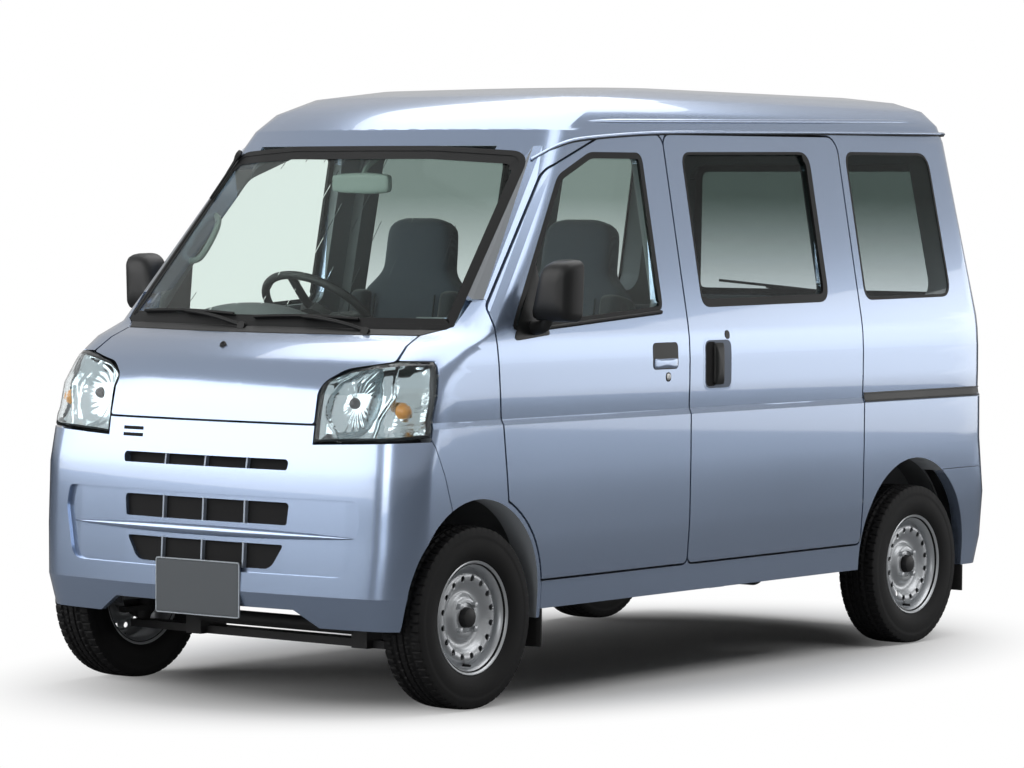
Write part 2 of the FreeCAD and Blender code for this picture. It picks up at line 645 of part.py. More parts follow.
def joined(label, pieces):
    """Several primitives fused into one sub-part."""
    union = doc.addObject("Part::MultiFuse", label)
    union.Label = label
    union.Shapes = pieces
    sub_parts.append(union)
    return union


def opposite(label, piece):
    """The same sub-part on the right-hand side."""
    copy = doc.addObject("Part::Mirroring", label)
    copy.Label = label
    copy.Source = piece
    copy.Normal = Vector(1, 0, 0)
    sub_parts.append(copy)
    return copy


FRONT_Y = "(front_overhang - body_length / 2)"
REAR_Y = "(front_overhang + wheelbase - body_length / 2)"
BORE = "(spindle_radius + spindle_play)"

# Tyre and pressed-steel wheel sections, from the wheel's centre plane out and from the axle line up.
TYRE = [("-tyre_wide / 2", "bead_radius + seat_gap"), ("-tyre_wide / 2", "tyre_radius - shoulder"),
        ("-tyre_wide / 2 + shoulder", "tyre_radius"), ("tyre_wide / 2 - shoulder", "tyre_radius"),
        ("tyre_wide / 2", "tyre_radius - shoulder"), ("tyre_wide / 2", "bead_radius + seat_gap")]
DISC = [("disc_face", "bead_radius - rim_wall"), ("disc_face", "ridge_outer"),
        ("ridge_face", "ridge_outer"), ("ridge_face", "ridge_inner"),
        ("disc_face", "ridge_inner"), ("disc_face", "hub_wide"), ("hub_face", "hub_wide")]
INWARD = {"ridge_outer": " - disc_thick", "ridge_inner": " + disc_thick", "hub_wide": " - disc_thick"}
BEHIND = [(across + " - disc_thick", up + INWARD.get(up, "")) for across, up in reversed(DISC)]
RIM = [("-rim_half", "bead_radius"), ("rim_half", "bead_radius"), ("rim_half", "bead_radius - rim_wall")]
RIM += DISC + [
    ("hub_face", "cap_radius"), ("cap_face", "cap_radius"), ("cap_face", BORE), ("-sleeve_end", BORE),
    ("-sleeve_end", "sleeve_radius"), ("hub_face - disc_thick", "sleeve_radius")] + BEHIND + [
    ("-rim_half", "bead_radius - rim_wall")]


def make_wheel(place, along_x, along_y, turn):
    """Tyre and vented wheel of one corner; the outer face looks away from the body."""
    tyre = revolved("tyre_" + place, TYRE)
    rim = revolved("wheel_" + place, RIM)
    vents = rim.newObject("PartDesign::Pocket", "vent_" + place)
    face = [item for item in rim.Origin.OriginFeatures if item.Role == "YZ_Plane"][0]
    hole = rim.newObject("Sketcher::SketchObject", "vent_hole_" + place)
    hole.AttachmentSupport = (face, "")
    hole.MapMode = "FlatFace"
    hole.addGeometry(Part.Circle(Vector(0, size("vent_circle"), 0), Vector(0, 0, 1), size("vent_radius")))
    hole.addConstraint(Sketcher.Constraint("PointOnObject", 0, 3, -2))
    rise = hole.addConstraint(Sketcher.Constraint("DistanceY", -1, 1, 0, 3, size("vent_circle")))
    hole.setExpression("Constraints[%d]" % rise, in_sheet("vent_circle"))
    wide = hole.addConstraint(Sketcher.Constraint("Radius", 0, size("vent_radius")))
    hole.setExpression("Constraints[%d]" % wide, in_sheet("vent_radius"))
    vents.Profile = hole
    vents.Reversed = True
    vents.setExpression("Length", in_sheet("rim_half"))
    ring = rim.newObject("PartDesign::PolarPattern", "vents_" + place)
    ring.Originals = [vents]
    ring.Axis = (hole, ["H_Axis"])
    ring.setExpression("Occurrences", "Sizes.vent_count")
    ring.Angle = 360
    rim.Tip = ring
    for piece in (tyre, rim):
        move(piece, along_x, along_y, "tyre_radius", turn)


make_wheel("front_left", "front_track / 2", FRONT_Y, 0)
make_wheel("front_right", "-front_track / 2", FRONT_Y, 180)
make_wheel("rear_left", "rear_track / 2", REAR_Y, 0)
make_wheel("rear_right", "-rear_track / 2", REAR_Y, 180)

# Knuckle with its strut: all of it turns about the leaning king pin line through the lower ball.
tilt = math.radians(size("king_pin_tilt"))
pin_base = size("king_pin_base")
tower_top = arch_height + arch_radius + size("housing_room")
strut_drop = size("strut_radius") * math.sin(tilt) + seat_gap
strut_reach = (tower_top - pin_base - strut_drop) / math.cos(tilt)
foot = ("king_pin_foot", FRONT_Y, "king_pin_base")
X_AXIS, Y_AXIS = Vector(1, 0, 0), Vector(0, 1, 0)
upright = primitive("Cylinder", "upright", foot, -size("king_pin_tilt"), Y_AXIS,
                    Radius="upright_radius", Height="150")
strut = primitive("Cylinder", "strut", foot, -size("king_pin_tilt"), Y_AXIS,
                  Radius="strut_radius", Height="%.6f" % strut_reach)
spindle = primitive("Cylinder", "spindle", ("king_pin_foot - 40", FRONT_Y, "tyre_radius"), 90, Y_AXIS,
                    Radius="spindle_radius", Height="front_track / 2 - king_pin_foot + 78")
shield = primitive("Cylinder", "shield", ("front_track / 2 - 58", FRONT_Y, "tyre_radius"), 90, Y_AXIS,
                   Radius="shield_radius", Height="12")
steering_arm = box("steering_arm", ("king_pin_foot - 34", FRONT_Y + " - 110", "king_pin_base + 22"),
                   ("king_pin_foot - 4", FRONT_Y, "king_pin_base + 40"))
knuckle = joined("knuckle_left", [upright, strut, spindle, shield, steering_arm])
opposite("knuckle_right", knuckle)

# Front suspension: a cross-member under the rails carries both lower arms and the steering rack.
arm_top = pin_base - size("upright_radius") * math.sin(tilt) - seat_gap
arm_low, arm_high = "%.6f" % (arm_top - 24), "%.6f" % arm_top
rail_base = "cabin_floor - floor_thick - rail_deep - 2 * seat_gap"
suspension = [box("arms", ("-king_pin_foot - 20", FRONT_Y + " - 30", arm_low),
                  ("king_pin_foot + 20", FRONT_Y + " + 30", arm_high))]
for side, low, high in (("left", "rail_half", "rail_half + rail_wide"),
                        ("right", "-rail_half - rail_wide", "-rail_half")):
    hanger = (high, FRONT_Y + " + 60", rail_base)
    suspension.append(box("hanger_" + side, (low, FRONT_Y + " - 60", arm_low), hanger))
rack_foot = ("-rail_half - 10", FRONT_Y + " - 45", "king_pin_base + 30")
suspension.append(primitive("Cylinder", "rack", rack_foot, 90, Y_AXIS, Radius="22", Height="2 * rail_half + 20"))
joined("front_suspension", suspension)

# Frame rails: one side profile, full width, with the bays between its cross-members cut out.
rails = new_body("frame_rails")
LOW = "cabin_floor - floor_thick - seat_gap"
HIGH = "load_floor - floor_thick - seat_gap"
rail_side = sketch_on(rails, "YZ_Plane", "rail_profile", [
    (FRONT_Y + " - 330", LOW + " - rail_deep"), (FRONT_Y + " + 590", LOW + " - rail_deep"),
    (FRONT_Y + " + 1150", HIGH + " - rail_deep"), (REAR_Y + " + 430", HIGH + " - rail_deep"),
    (REAR_Y + " + 430", HIGH), (FRONT_Y + " + 1225", HIGH), (FRONT_Y + " + 530", LOW),
    (FRONT_Y + " - 330", LOW)])
rail_pad = rails.newObject("PartDesign::Pad", "rail_pad")
rail_pad.Profile = rail_side
rail_pad.Midplane = True
rail_pad.setExpression("Length", in_sheet("2 * (rail_half + rail_wide)"))
bay_sketch = rails.newObject("Sketcher::SketchObject", "bays")
ground = [item for item in rails.Origin.OriginFeatures if item.Role == "XY_Plane"][0]
bay_sketch.AttachmentSupport = (ground, "")
bay_sketch.MapMode = "FlatFace"
for front, back in ((FRONT_Y + " - 270", FRONT_Y + " - 80"), (FRONT_Y + " + 80", FRONT_Y + " + 1180"),
                    (FRONT_Y + " + 1240", REAR_Y + " - 320"), (REAR_Y + " - 260", REAR_Y + " + 370")):
    corners = [("-rail_half", front), ("rail_half", front), ("rail_half", back), ("-rail_half", back)]
    draw_loop(bay_sketch, corners)
bays = rails.newObject("PartDesign::Pocket", "bay_cut")
bays.Profile = bay_sketch
bays.Midplane = True
bays.Length = 4000

# Engine, gearbox and propeller shaft: one plain mass slung under the seat box.
joined("engine", [
    box("block", ("-200", FRONT_Y + " + 600", "235"), ("200", FRONT_Y + " + 1090", "640")),
    box("mount_arms", ("-rail_half + seat_gap", FRONT_Y + " + 830", "450"),
        ("rail_half - seat_gap", FRONT_Y + " + 880", "500")),
    box("gearbox", ("-110", FRONT_Y + " + 1080", "265"), ("110", FRONT_Y + " + 1520", "500")),
    primitive("Cylinder", "propeller_shaft", ("0", FRONT_Y + " + 1510", "tyre_radius + 15"), -90, X_AXIS,
              Radius="28", Height="wheelbase - 1510 - diff_radius - seat_gap")])

# Rear axle: tube, differential, brake backs and spindles turned as one.
axle = revolved("rear_axle", [
    ("-(rear_track / 2 + 40)", "0"), ("-(rear_track / 2 + 40)", "spindle_radius"),
    ("-(rear_track / 2 - 36)", "spindle_radius"), ("-(rear_track / 2 - 36)", "drum_radius"),
    ("-(rear_track / 2 - 70)", "drum_radius"), ("-(rear_track / 2 - 70)", "axle_radius"),
    ("-diff_radius", "axle_radius"), ("-60", "diff_radius"),
    ("60", "diff_radius"), ("diff_radius", "axle_radius"),
    ("rear_track / 2 - 70", "axle_radius"), ("rear_track / 2 - 70", "drum_radius"),
    ("rear_track / 2 - 36", "drum_radius"), ("rear_track / 2 - 36", "spindle_radius"),
    ("rear_track / 2 + 40", "spindle_radius"), ("rear_track / 2 + 40", "0")])
move(axle, "0", REAR_Y, "tyre_radius")

# Leaf springs: a bowed pack under each rail, clamped beneath the axle tube.
spring_low = size("tyre_radius") - size("axle_radius") - seat_gap
rail_under = size("load_floor") - size("floor_thick") - 2 * seat_gap - size("rail_deep")
eye_z = rail_under - 70
half_span = 400
sag = eye_z - spring_low
leaf_radius = (half_span ** 2 + sag ** 2) / (2 * sag)


def bowed(radius_in, radius_out, low, high):
    """A bowed strip about the spring's centre, from low to high across."""
    lift = spring_low + leaf_radius
    reach = math.asin(half_span / leaf_radius)
    points = []
    for radius, way in ((radius_in, 1), (radius_out, -1)):
        arc = [Vector(low, rear_axle + radius * math.sin(a), lift - radius * math.cos(a))
               for a in (-way * reach, 0, way * reach)]
        points.append(Part.Arc(*arc).toShape())
    start, end = points[0].Vertexes[-1].Point, points[1].Vertexes[0].Point
    last, first = points[1].Vertexes[-1].Point, points[0].Vertexes[0].Point
    sides = [Part.LineSegment(start, end).toShape(), Part.LineSegment(last, first).toShape()]
    return Part.Face(Part.Wire(Part.__sortEdges__(points + sides))).extrude(Vector(high - low, 0, 0))


spring_left = size("rail_half") + 5
leaf = bowed(leaf_radius, leaf_radius + 18, spring_left, spring_left + 50)
for end in (-1, 1):
    low = rear_axle + end * half_span
    leaf = leaf.fuse(Part.makeBox(50, 30, rail_under - eye_z + 24, Vector(spring_left, low - 15, eye_z - 24)))
keep("leaf_springs", pair(leaf))

# Under-floor pieces.
tank = box("fuel_tank", ("-620", FRONT_Y + " + 1330", "345"),
           ("-rail_half - rail_wide - 15", FRONT_Y + " + 1930", HIGH))
sub_parts.append(tank)
spare = primitive("Cylinder", "spare_wheel", ("0", REAR_Y + " + 65", HIGH + " - tyre_wide"),
                  Radius="tyre_radius", Height="tyre_wide")
spare.Label = "spare_wheel"
sub_parts.append(spare)
muffler = primitive("Cylinder", "muffler", ("465", FRONT_Y + " + 1420", "475"), -90, X_AXIS,
                    Radius="80", Height="430")
tail_pipe = primitive("Cylinder", "tail_pipe", ("465", FRONT_Y + " + 1840", "450"), -90, X_AXIS,
                      Radius="20", Height="wheelbase - 1840 + 425")
front_pipe = primitive("Cylinder", "front_pipe", ("465", FRONT_Y + " + 1000", "475"), -90, X_AXIS,
                       Radius="20", Height="430")
hooks = [box("pipe_hook_%d" % index, ("459", FRONT_Y + " + %d" % place, "470"),
             ("471", FRONT_Y + " + %d" % (place + 30), HIGH)) for index, place in enumerate((1500, 1780))]
end_hook = box("pipe_hook_end", ("459", REAR_Y + " + 380", "455"), ("471", REAR_Y + " + 400", HIGH))
joined("exhaust", [muffler, tail_pipe, front_pipe, end_hook] + hooks)

flaps = []
for name, place, top in (("front", FRONT_Y + " + arch_radius + arch_lip + 2", "sill_base - seat_gap"),
                         ("rear", REAR_Y + " - rear_arch_lead + rear_arch_radius + 2",
                          "skirt_height - seat_gap")):
    for side, low, high in (("left", "590", "722"), ("right", "-722", "-590")):
        flaps.append(box("flap_%s_%s" % (name, side), (low, place, "160"), (high, place + " + 5", top)))
doc.recompute()
keep("mud_flaps", Part.Compound([flap.Shape for flap in flaps]))

# Cabin: dashboard with the steering column, steering wheel, seats.
column_tilt = math.radians(50)
wheel_centre = Vector(-340, front_axle + 549, 1137)
toward = Vector(0, math.cos(column_tilt), math.sin(column_tilt))
dash_side = from_axle([(-235 + seat_gap, 1085), (60, 1100, 40), (215, 1068, 60), (290, 960, 60),
                       (290, 800, 40), (-235 + seat_gap, 760)])
dash = prism(dash_side, "side", -700, 700).common(skin(size("frame_back") + seat_gap))
column = Part.makeCylinder(26, 440, wheel_centre - toward * 470, toward)
keep("dashboard", dash.fuse(column))

grip = size("wheel_grip")
section = [Vector(size("wheel_rim_radius") + grip * math.cos(a), 0, grip * math.sin(a))
           for a in (math.radians(22.5 + 45 * step) for step in range(8))]
rim_ring = Part.Face(Part.makePolygon(section + section[:1])).revolve(Vector(0, 0, 0), Vector(0, 0, 1), 360)
hub = Part.makeCylinder(52, 30 - seat_gap, Vector(0, 0, -30 + seat_gap), Vector(0, 0, 1))
spokes = []
for angle in (0, 180, 270):
    spoke = Part.makeBox(size("wheel_rim_radius") - 35, 34, 10, Vector(35, -17, -14))
    spokes.append(spoke.rotate(Vector(0, 0, 0), Vector(0, 0, 1), angle))
steering = rim_ring.fuse([hub] + spokes)
steering_wheel = keep("steering_wheel", steering)
steering_wheel.Placement = FreeCAD.Placement(wheel_centre, FreeCAD.Rotation(Vector(0, 0, 1), toward))


def make_seat(centre, front, back, base, top, half):
    """A plain seat solid in side view: cushion, leaning back and head rest in one."""
    side = from_axle([(front, base), (back - 90, base), (back + 90, top, 40), (back - 10, top, 50),
                      (back - 120, base + 160, 50), (front, base + 140, 50)])
    return prism(side, "side", centre - half, centre + half)


seat_base = size("seat_box") + seat_gap
keep("front_seats", pair(make_seat(322, 560, 1060, seat_base, 1445, 235)))
bench_base = size("load_floor") + seat_gap
keep("rear_seat", make_seat(0, 1500, 1960, bench_base, 1150, 560))

# Door mirrors on the sail corner of each front door.
MIRROR_FACE = [(738, 1132, 20), (890, 1140, 45), (900, 1300, 50), (752, 1322, 40)]
MIRROR_SIDE = from_axle([(215, 1150, 30), (300, 1125, 10), (300, 1330, 10), (215, 1290, 40)])
mirror_shell = prism(MIRROR_FACE, "front", front_axle + 200, front_axle + 320)
mirror_shell = mirror_shell.common(prism(MIRROR_SIDE, "side", 700, 950))
arm = Part.makeBox(60, 60, 75, Vector(705, front_axle + 205, 1080))
mirror = mirror_shell.fuse(arm).cut(skin(-seat_gap))
mirror = largest(mirror)
keep("mirror_left", mirror)
keep("mirror_right", mirrored(mirror))

doc.recompute()
for item in doc.Objects:
    if "Invalid" in item.State or "Error" in item.State:
        raise RuntimeError("%s did not build" % item.Name)
for piece in sub_parts:
    if piece.Shape.isNull() or not piece.Shape.isValid():
        raise RuntimeError("%s is not a valid shape" % piece.Label)

os.makedirs("parts", exist_ok=True)
for piece in sub_parts:
    piece.Shape.exportStep("parts/%s.step" % piece.Label)
    print(piece.Label, len(piece.Shape.Solids), round(piece.Shape.Volume / 1e6, 2))
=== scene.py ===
import math
import bmesh
import bpy
from mathutils import Matrix, Vector, noise


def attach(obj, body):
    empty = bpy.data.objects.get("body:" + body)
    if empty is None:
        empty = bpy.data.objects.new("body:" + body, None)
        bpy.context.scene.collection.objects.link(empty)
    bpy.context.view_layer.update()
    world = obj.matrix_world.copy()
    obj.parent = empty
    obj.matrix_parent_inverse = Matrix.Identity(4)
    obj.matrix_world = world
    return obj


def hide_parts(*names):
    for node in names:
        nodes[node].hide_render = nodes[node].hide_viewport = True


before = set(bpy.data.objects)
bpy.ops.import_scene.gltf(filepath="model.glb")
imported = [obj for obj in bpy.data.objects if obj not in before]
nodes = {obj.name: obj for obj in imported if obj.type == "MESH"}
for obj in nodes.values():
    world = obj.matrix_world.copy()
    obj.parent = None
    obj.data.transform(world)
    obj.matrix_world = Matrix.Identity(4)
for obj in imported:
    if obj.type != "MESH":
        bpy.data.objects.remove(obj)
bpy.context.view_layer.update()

# Painted body shell
# Pressed steel panels in silver-blue metallic paint under clear coat: sides, doors, roof, fenders,
# lid, gate and bumpers. Their curves run smoothly from panel to panel across the shut gaps.

# Body levels in mm: height, nose set-back, side inset, bow radius, corner radius, tail set-back.
LEVELS = (
    (250, 27, 19.5, 4000, 140, 30), (345, 0, 13.5, 4000, 140, 2), (500, 8, 2.5, 4000, 140, 0),
    (690, 17, 0, 4000, 140, 30), (834, 37, 0, 3800, 160, 32), (852, 39, 8.5, 3800, 160, 32),
    (930, 53, 6.5, 3300, 160, 33), (1010, 105, 6.5, 2800, 160, 34), (1070, 185, 9.5, 2400, 150, 35),
    (1115, 285, 15.5, 2000, 130, 36), (1714, 803, 123.5, 1500, 110, 105), (1770, 878, 139, 1500, 160, 123),
    (1820, 1005, 187, 1500, 230, 148), (1850, 1235, 270, 1500, 280, 205), (1866, 1600, 385, 1500, 210, 350),
    (1875, 2015, 557.5, 1500, 130, 630),
)
HALF_LENGTH, HALF_WIDTH, FRONT_AXLE = 1697.5, 737.5, -1282.5
TAIL_BOW, TAIL_CORNER = 6000, 110
# Directions of the facets, in degrees from the nose and from the tail, and the levels that stay sharp.
NOSE_TURNS = (0, 3, 6, 9, 13, 19, 28, 42, 57, 73, 90)
TAIL_TURNS = (0, 3, 6, 14, 28, 44, 60, 75)
SHARP_LEVELS = (345, 834, 852, 1714)
# The hidden form is finer than the panels: steps on each end arc, corner arc and side, then the
# height in mm of its rows on the sides and on the roof, and the height in metres of the flat top.
END_STEPS, CORNER_STEPS, SIDE_STEPS = 12, 24, 12
SIDE_ROW, ROOF_ROW, ROOF_EDGE, ROOF_TOP = 9, 5, 1714, 1.8745
# Outer faces lie near the form and agree with its direction, and linings lie far under it. Near a
# sharp level, the form is asked a step away from it. In metres, apart from the agreement.
OUTER_GAP, OUTER_AGREEMENT, LINING_DEPTH = 0.012, 0.86, 0.028
CREASE_REACH, CREASE_STEP = 0.003, 0.0045
# Wheel arches as circles in mm: place along, height and radius.
ARCH_CIRCLES = ((FRONT_AXLE, 321, 303), (FRONT_AXLE + 2417, 305, 334))


def arc_centres(end, end_radius, corner, side, way):
    """Centres of an end arc and of the corner arc that touches it and the side."""
    run = side - corner
    centre = (0.0, end - way * end_radius)
    return centre, (run, centre[1] + way * math.sqrt((end_radius - corner) ** 2 - run ** 2))


def tangent_lines(end, end_radius, corner, side, way, turns, inset):
    """Lines (normal, distance) that touch an end arc and its corner arc."""
    centre, bend = arc_centres(end, end_radius, corner, side, way)
    change = math.asin((side - corner) / (end_radius - corner))
    lines = []
    for turn in turns:
        angle = math.radians(turn)
        normal = (math.sin(angle), way * math.cos(angle))
        spot, radius = (centre, end_radius) if angle <= change else (bend, corner)
        lines.append((normal, spot[0] * normal[0] + spot[1] * normal[1] + radius - inset))
    return lines


def level_ring(level, inset):
    """Left half of one level's outline, from the nose to the tail, as (x, y) in mm."""
    height, nose, side, bow, corner, tail = level
    wide = HALF_WIDTH - side
    lines = tangent_lines(nose - HALF_LENGTH, bow, corner, wide, -1, NOSE_TURNS, inset)
    lines += reversed(tangent_lines(HALF_LENGTH - tail, TAIL_BOW, TAIL_CORNER, wide, 1, TAIL_TURNS, inset))
    ring = []
    for (one, reach), (two, far) in zip(lines, lines[1:]):
        turn = one[0] * two[1] - one[1] * two[0]
        ring.append(((reach * two[1] - far * one[1]) / turn, (one[0] * far - two[0] * reach) / turn))
    return ring


ring_store = {}


def ring_at(height, inset=0.0):
    """The skin's outline at any height, straight between levels as the panels are."""
    if inset not in ring_store:
        ring_store[inset] = [level_ring(level, inset) for level in LEVELS]
    rings = ring_store[inset]
    upper = next((i for i, level in enumerate(LEVELS) if level[0] >= height), len(LEVELS) - 1)
    upper = max(upper, 1)
    low, high = LEVELS[upper - 1][0], LEVELS[upper][0]
    share = (height - low) / (high - low)
    return [(a[0] + (b[0] - a[0]) * share, a[1] + (b[1] - a[1]) * share)
            for a, b in zip(rings[upper - 1], rings[upper])]


def side_point(along, height, inset=0.0):
    """A spot on the left side, from its distance behind the front axle and its height, in metres."""
    y = along + FRONT_AXLE
    ring = ring_at(height, inset)
    for a, b in zip(ring, ring[1:]):
        if a[1] <= y <= b[1]:
            share = (y - a[1]) / (b[1] - a[1])
            return Vector((a[0] + (b[0] - a[0]) * share, y, height)) / 1000
    return Vector((ring[0][0] if y < 0 else ring[-1][0], y, height)) / 1000


def end_point(ring, across, height):
    """A spot at one end of the body, on an outline that starts in the middle of that end."""
    ring = [(0.0, ring[0][1])] + ring
    for a, b in zip(ring, ring[1:]):
        if a[0] <= abs(across) <= b[0] and b[0] > a[0]:
            y = a[1] + (b[1] - a[1]) * (abs(across) - a[0]) / (b[0] - a[0])
            return Vector((across, y, height)) / 1000
    return Vector((across, ring[-1][1], height)) / 1000


def nose_point(across, height, inset=0.0):
    """A spot on the nose, from its place across and its height, in metres."""
    return end_point(ring_at(height, inset), across, height)


def tail_point(across, height, inset=0.0):
    """A spot on the tail, from its place across and its height, in metres."""
    return end_point(ring_at(height, inset)[::-1], across, height)


def eased_levels(low, high, step):
    """Level values between two heights on monotone curves, one row each few mm."""
    part = [level for level in LEVELS if low <= level[0] <= high]
    if len(part) == 2:
        count = max(int((high - low) / step), 2)
        return [[a + (b - a) * i / count for a, b in zip(*part)] for i in range(count + 1)]
    heights = [level[0] for level in part]
    slopes = []
    for column in range(1, 6):
        rise = [(b[column] - a[column]) / (b[0] - a[0]) for a, b in zip(part, part[1:])]
        inner = [2 * p * q / (p + q) if p * q > 0 else 0 for p, q in zip(rise, rise[1:])]
        slopes.append([1.5 * rise[0] - 0.5 * inner[0]] + inner + [1.5 * rise[-1] - 0.5 * inner[-1]])
    rows = []
    count = int((high - low) / step)
    for i in range(count + 1):
        z = low + (high - low) * i / count
        k = next(k for k in range(len(part) - 1) if z <= heights[k + 1] + 1e-6)
        gap = heights[k + 1] - heights[k]
        t = (z - heights[k]) / gap
        row = [z]
        for column in range(1, 6):
            p, q = part[k][column], part[k + 1][column]
            m, n = slopes[column - 1][k] * gap, slopes[column - 1][k + 1] * gap
            row.append(p * (1 + 2 * t) * (1 - t) ** 2 + q * t * t * (3 - 2 * t) + m * t * (1 - t) ** 2
                       - n * t * t * (1 - t))
        rows.append(row)
    return rows


def smooth_outline(row):
    """Whole outline of one eased level on true arcs, in metres."""
    height, nose, side, bow, corner, tail = row
    wide = HALF_WIDTH - side
    half = []
    for end, radius, bend, way in ((nose - HALF_LENGTH, bow, corner, -1),
                                   (HALF_LENGTH - tail, TAIL_BOW, TAIL_CORNER, 1)):
        centre, spot = arc_centres(end, radius, bend, wide, way)
        change = math.asin((wide - bend) / (radius - bend))
        turns = [(centre, radius, change * i / END_STEPS) for i in range(END_STEPS + 1)]
        turns += [(spot, bend, change + (math.pi / 2 - change) * i / CORNER_STEPS)
                  for i in range(1, CORNER_STEPS + 1)]
        half.append([(middle[0] + size * math.sin(turn), middle[1] + way * size * math.cos(turn))
                     for middle, size, turn in turns])
    front, rear = half
    sides = [(front[-1][0] + (rear[-1][0] - front[-1][0]) * i / SIDE_STEPS,
              front[-1][1] + (rear[-1][1] - front[-1][1]) * i / SIDE_STEPS) for i in range(1, SIDE_STEPS)]
    left = front + sides + rear[::-1]
    whole = left + [(-x, y) for x, y in left[1:-1][::-1]]
    return [(x / 1000, y / 1000, height / 1000) for x, y in whole]


def mesh_object(name, points, faces, smooth=True):
    """An object from plain points and faces."""
    mesh = bpy.data.meshes.new(name)
    mesh.from_pydata([tuple(p) for p in points], [], faces)
    mesh.validate()
    mesh.update()
    if smooth:
        mesh.shade_smooth()
    piece = bpy.data.objects.new(name, mesh)
    bpy.context.scene.collection.objects.link(piece)
    return piece


def ring_faces(bands, count, start=0, loop=False, closed=True):
    """Four-sided faces between rings of points that follow each other, or that also loop back."""
    faces = []
    for band in range(bands):
        low = start + band * count
        high = start + (band + 1) % (bands if loop else bands + 1) * count
        for i in range(count if closed else count - 1):
            j = (i + 1) % count
            faces.append((low + i, low + j, high + j, high + i))
    return faces


def make_form():
    """Hidden smooth form of the whole body, which lends its curvature to the panels."""
    points, faces = [], []
    stops = [LEVELS[0][0], *SHARP_LEVELS, LEVELS[-1][0]]
    for low, high in zip(stops, stops[1:]):
        rows = [smooth_outline(row) for row in eased_levels(low, high,
                                                            SIDE_ROW if high <= ROOF_EDGE else ROOF_ROW)]
        count = len(rows[0])
        faces += ring_faces(len(rows) - 1, count, len(points))
        points += [spot for row in rows for spot in row]
    faces.append(tuple(range(len(points) - count, len(points))))
    form = mesh_object("body_form", points, faces)
    form.hide_render = True
    form.hide_viewport = True
    turned = form.data.attributes.new("curved_normal", "FLOAT_VECTOR", "POINT")
    for vertex, normal, spot in zip(turned.data, form.data.vertex_normals, form.data.vertices):
        vertex.vector = normal.vector if spot.co.z < ROOF_TOP else (0, 0, 1)
    return form


body_form = make_form()


def node_input(node, name, value):
    """Set an input if it is a value, or link it if it is a socket."""
    if isinstance(value, bpy.types.NodeSocket):
        node.id_data.links.new(value, node.inputs[name])
    else:
        node.inputs[name].default_value = value


def add_node(tree, kind, settings=None, **inputs):
    """A node with its settings and its inputs, where underscores stand for spaces."""
    node = tree.nodes.new(kind)
    for key, value in (settings or {}).items():
        setattr(node, key, value)
    for key, value in inputs.items():
        node_input(node, int(key[1:]) if key[1:].isdigit() else key.replace("_", " "), value)
    return node


def maths(tree, operation, *values):
    """The result of a sum on numbers."""
    node = add_node(tree, "ShaderNodeMath", {"operation": operation})
    for index, value in enumerate(values):
        node_input(node, index, value)
    return node.outputs[0]


def vector_maths(tree, operation, *values):
    """The result of a sum on vectors, which some sums give as a number."""
    node = add_node(tree, "ShaderNodeVectorMath", {"operation": operation})
    for index, value in enumerate(values):
        node_input(node, index, value)
    return node.outputs["Value" if operation in ("LENGTH", "DISTANCE", "DOT_PRODUCT") else "Vector"]


def from_faces(tree, value, data_type="FLOAT_VECTOR"):
    """A value as it is on the whole of each face."""
    return add_node(tree, "GeometryNodeFieldOnDomain", {"data_type": data_type, "domain": "FACE"},
                    Value=value).outputs[0]


def compared(tree, operation, value, limit):
    """Whether a value is above or below a limit."""
    return add_node(tree, "FunctionNodeCompare", {"operation": operation}, A=value, B=limit).outputs[0]


def crease_probe(tree, here, middle):
    """The place to ask for curvature: near a sharp level it is moved toward the face's own middle."""
    own_height = add_node(tree, "ShaderNodeSeparateXYZ", Vector=here).outputs[2]
    face_height = add_node(tree, "ShaderNodeSeparateXYZ", Vector=middle).outputs[2]
    side = maths(tree, "SIGN", maths(tree, "SUBTRACT", face_height, own_height))
    nearest = None
    for level in SHARP_LEVELS:
        off = maths(tree, "ABSOLUTE", maths(tree, "SUBTRACT", own_height, level / 1000))
        nearest = off if nearest is None else maths(tree, "MINIMUM", nearest, off)
    at_crease = maths(tree, "LESS_THAN", nearest, CREASE_REACH)
    nudge = maths(tree, "MULTIPLY", maths(tree, "MULTIPLY", side, at_crease), CREASE_STEP)
    return vector_maths(tree, "ADD", here, add_node(tree, "ShaderNodeCombineXYZ", Z=nudge).outputs[0])


def lining_faces(tree, middle, gap):
    """Faces that are lining: those far under the form, and those inside a wheel arch."""
    lined = compared(tree, "GREATER_THAN", gap, LINING_DEPTH)
    for along, high, radius in ARCH_CIRCLES:
        spoke = vector_maths(tree, "SUBTRACT", middle, (0, along / 1000, high / 1000))
        spoke = vector_maths(tree, "LENGTH", vector_maths(tree, "MULTIPLY", spoke, (0, 1, 1)))
        arch = compared(tree, "LESS_THAN", spoke, radius / 1000)
        lined = add_node(tree, "FunctionNodeBooleanMath", {"operation": "OR"}, i0=lined, i1=arch).outputs[0]
    return lined


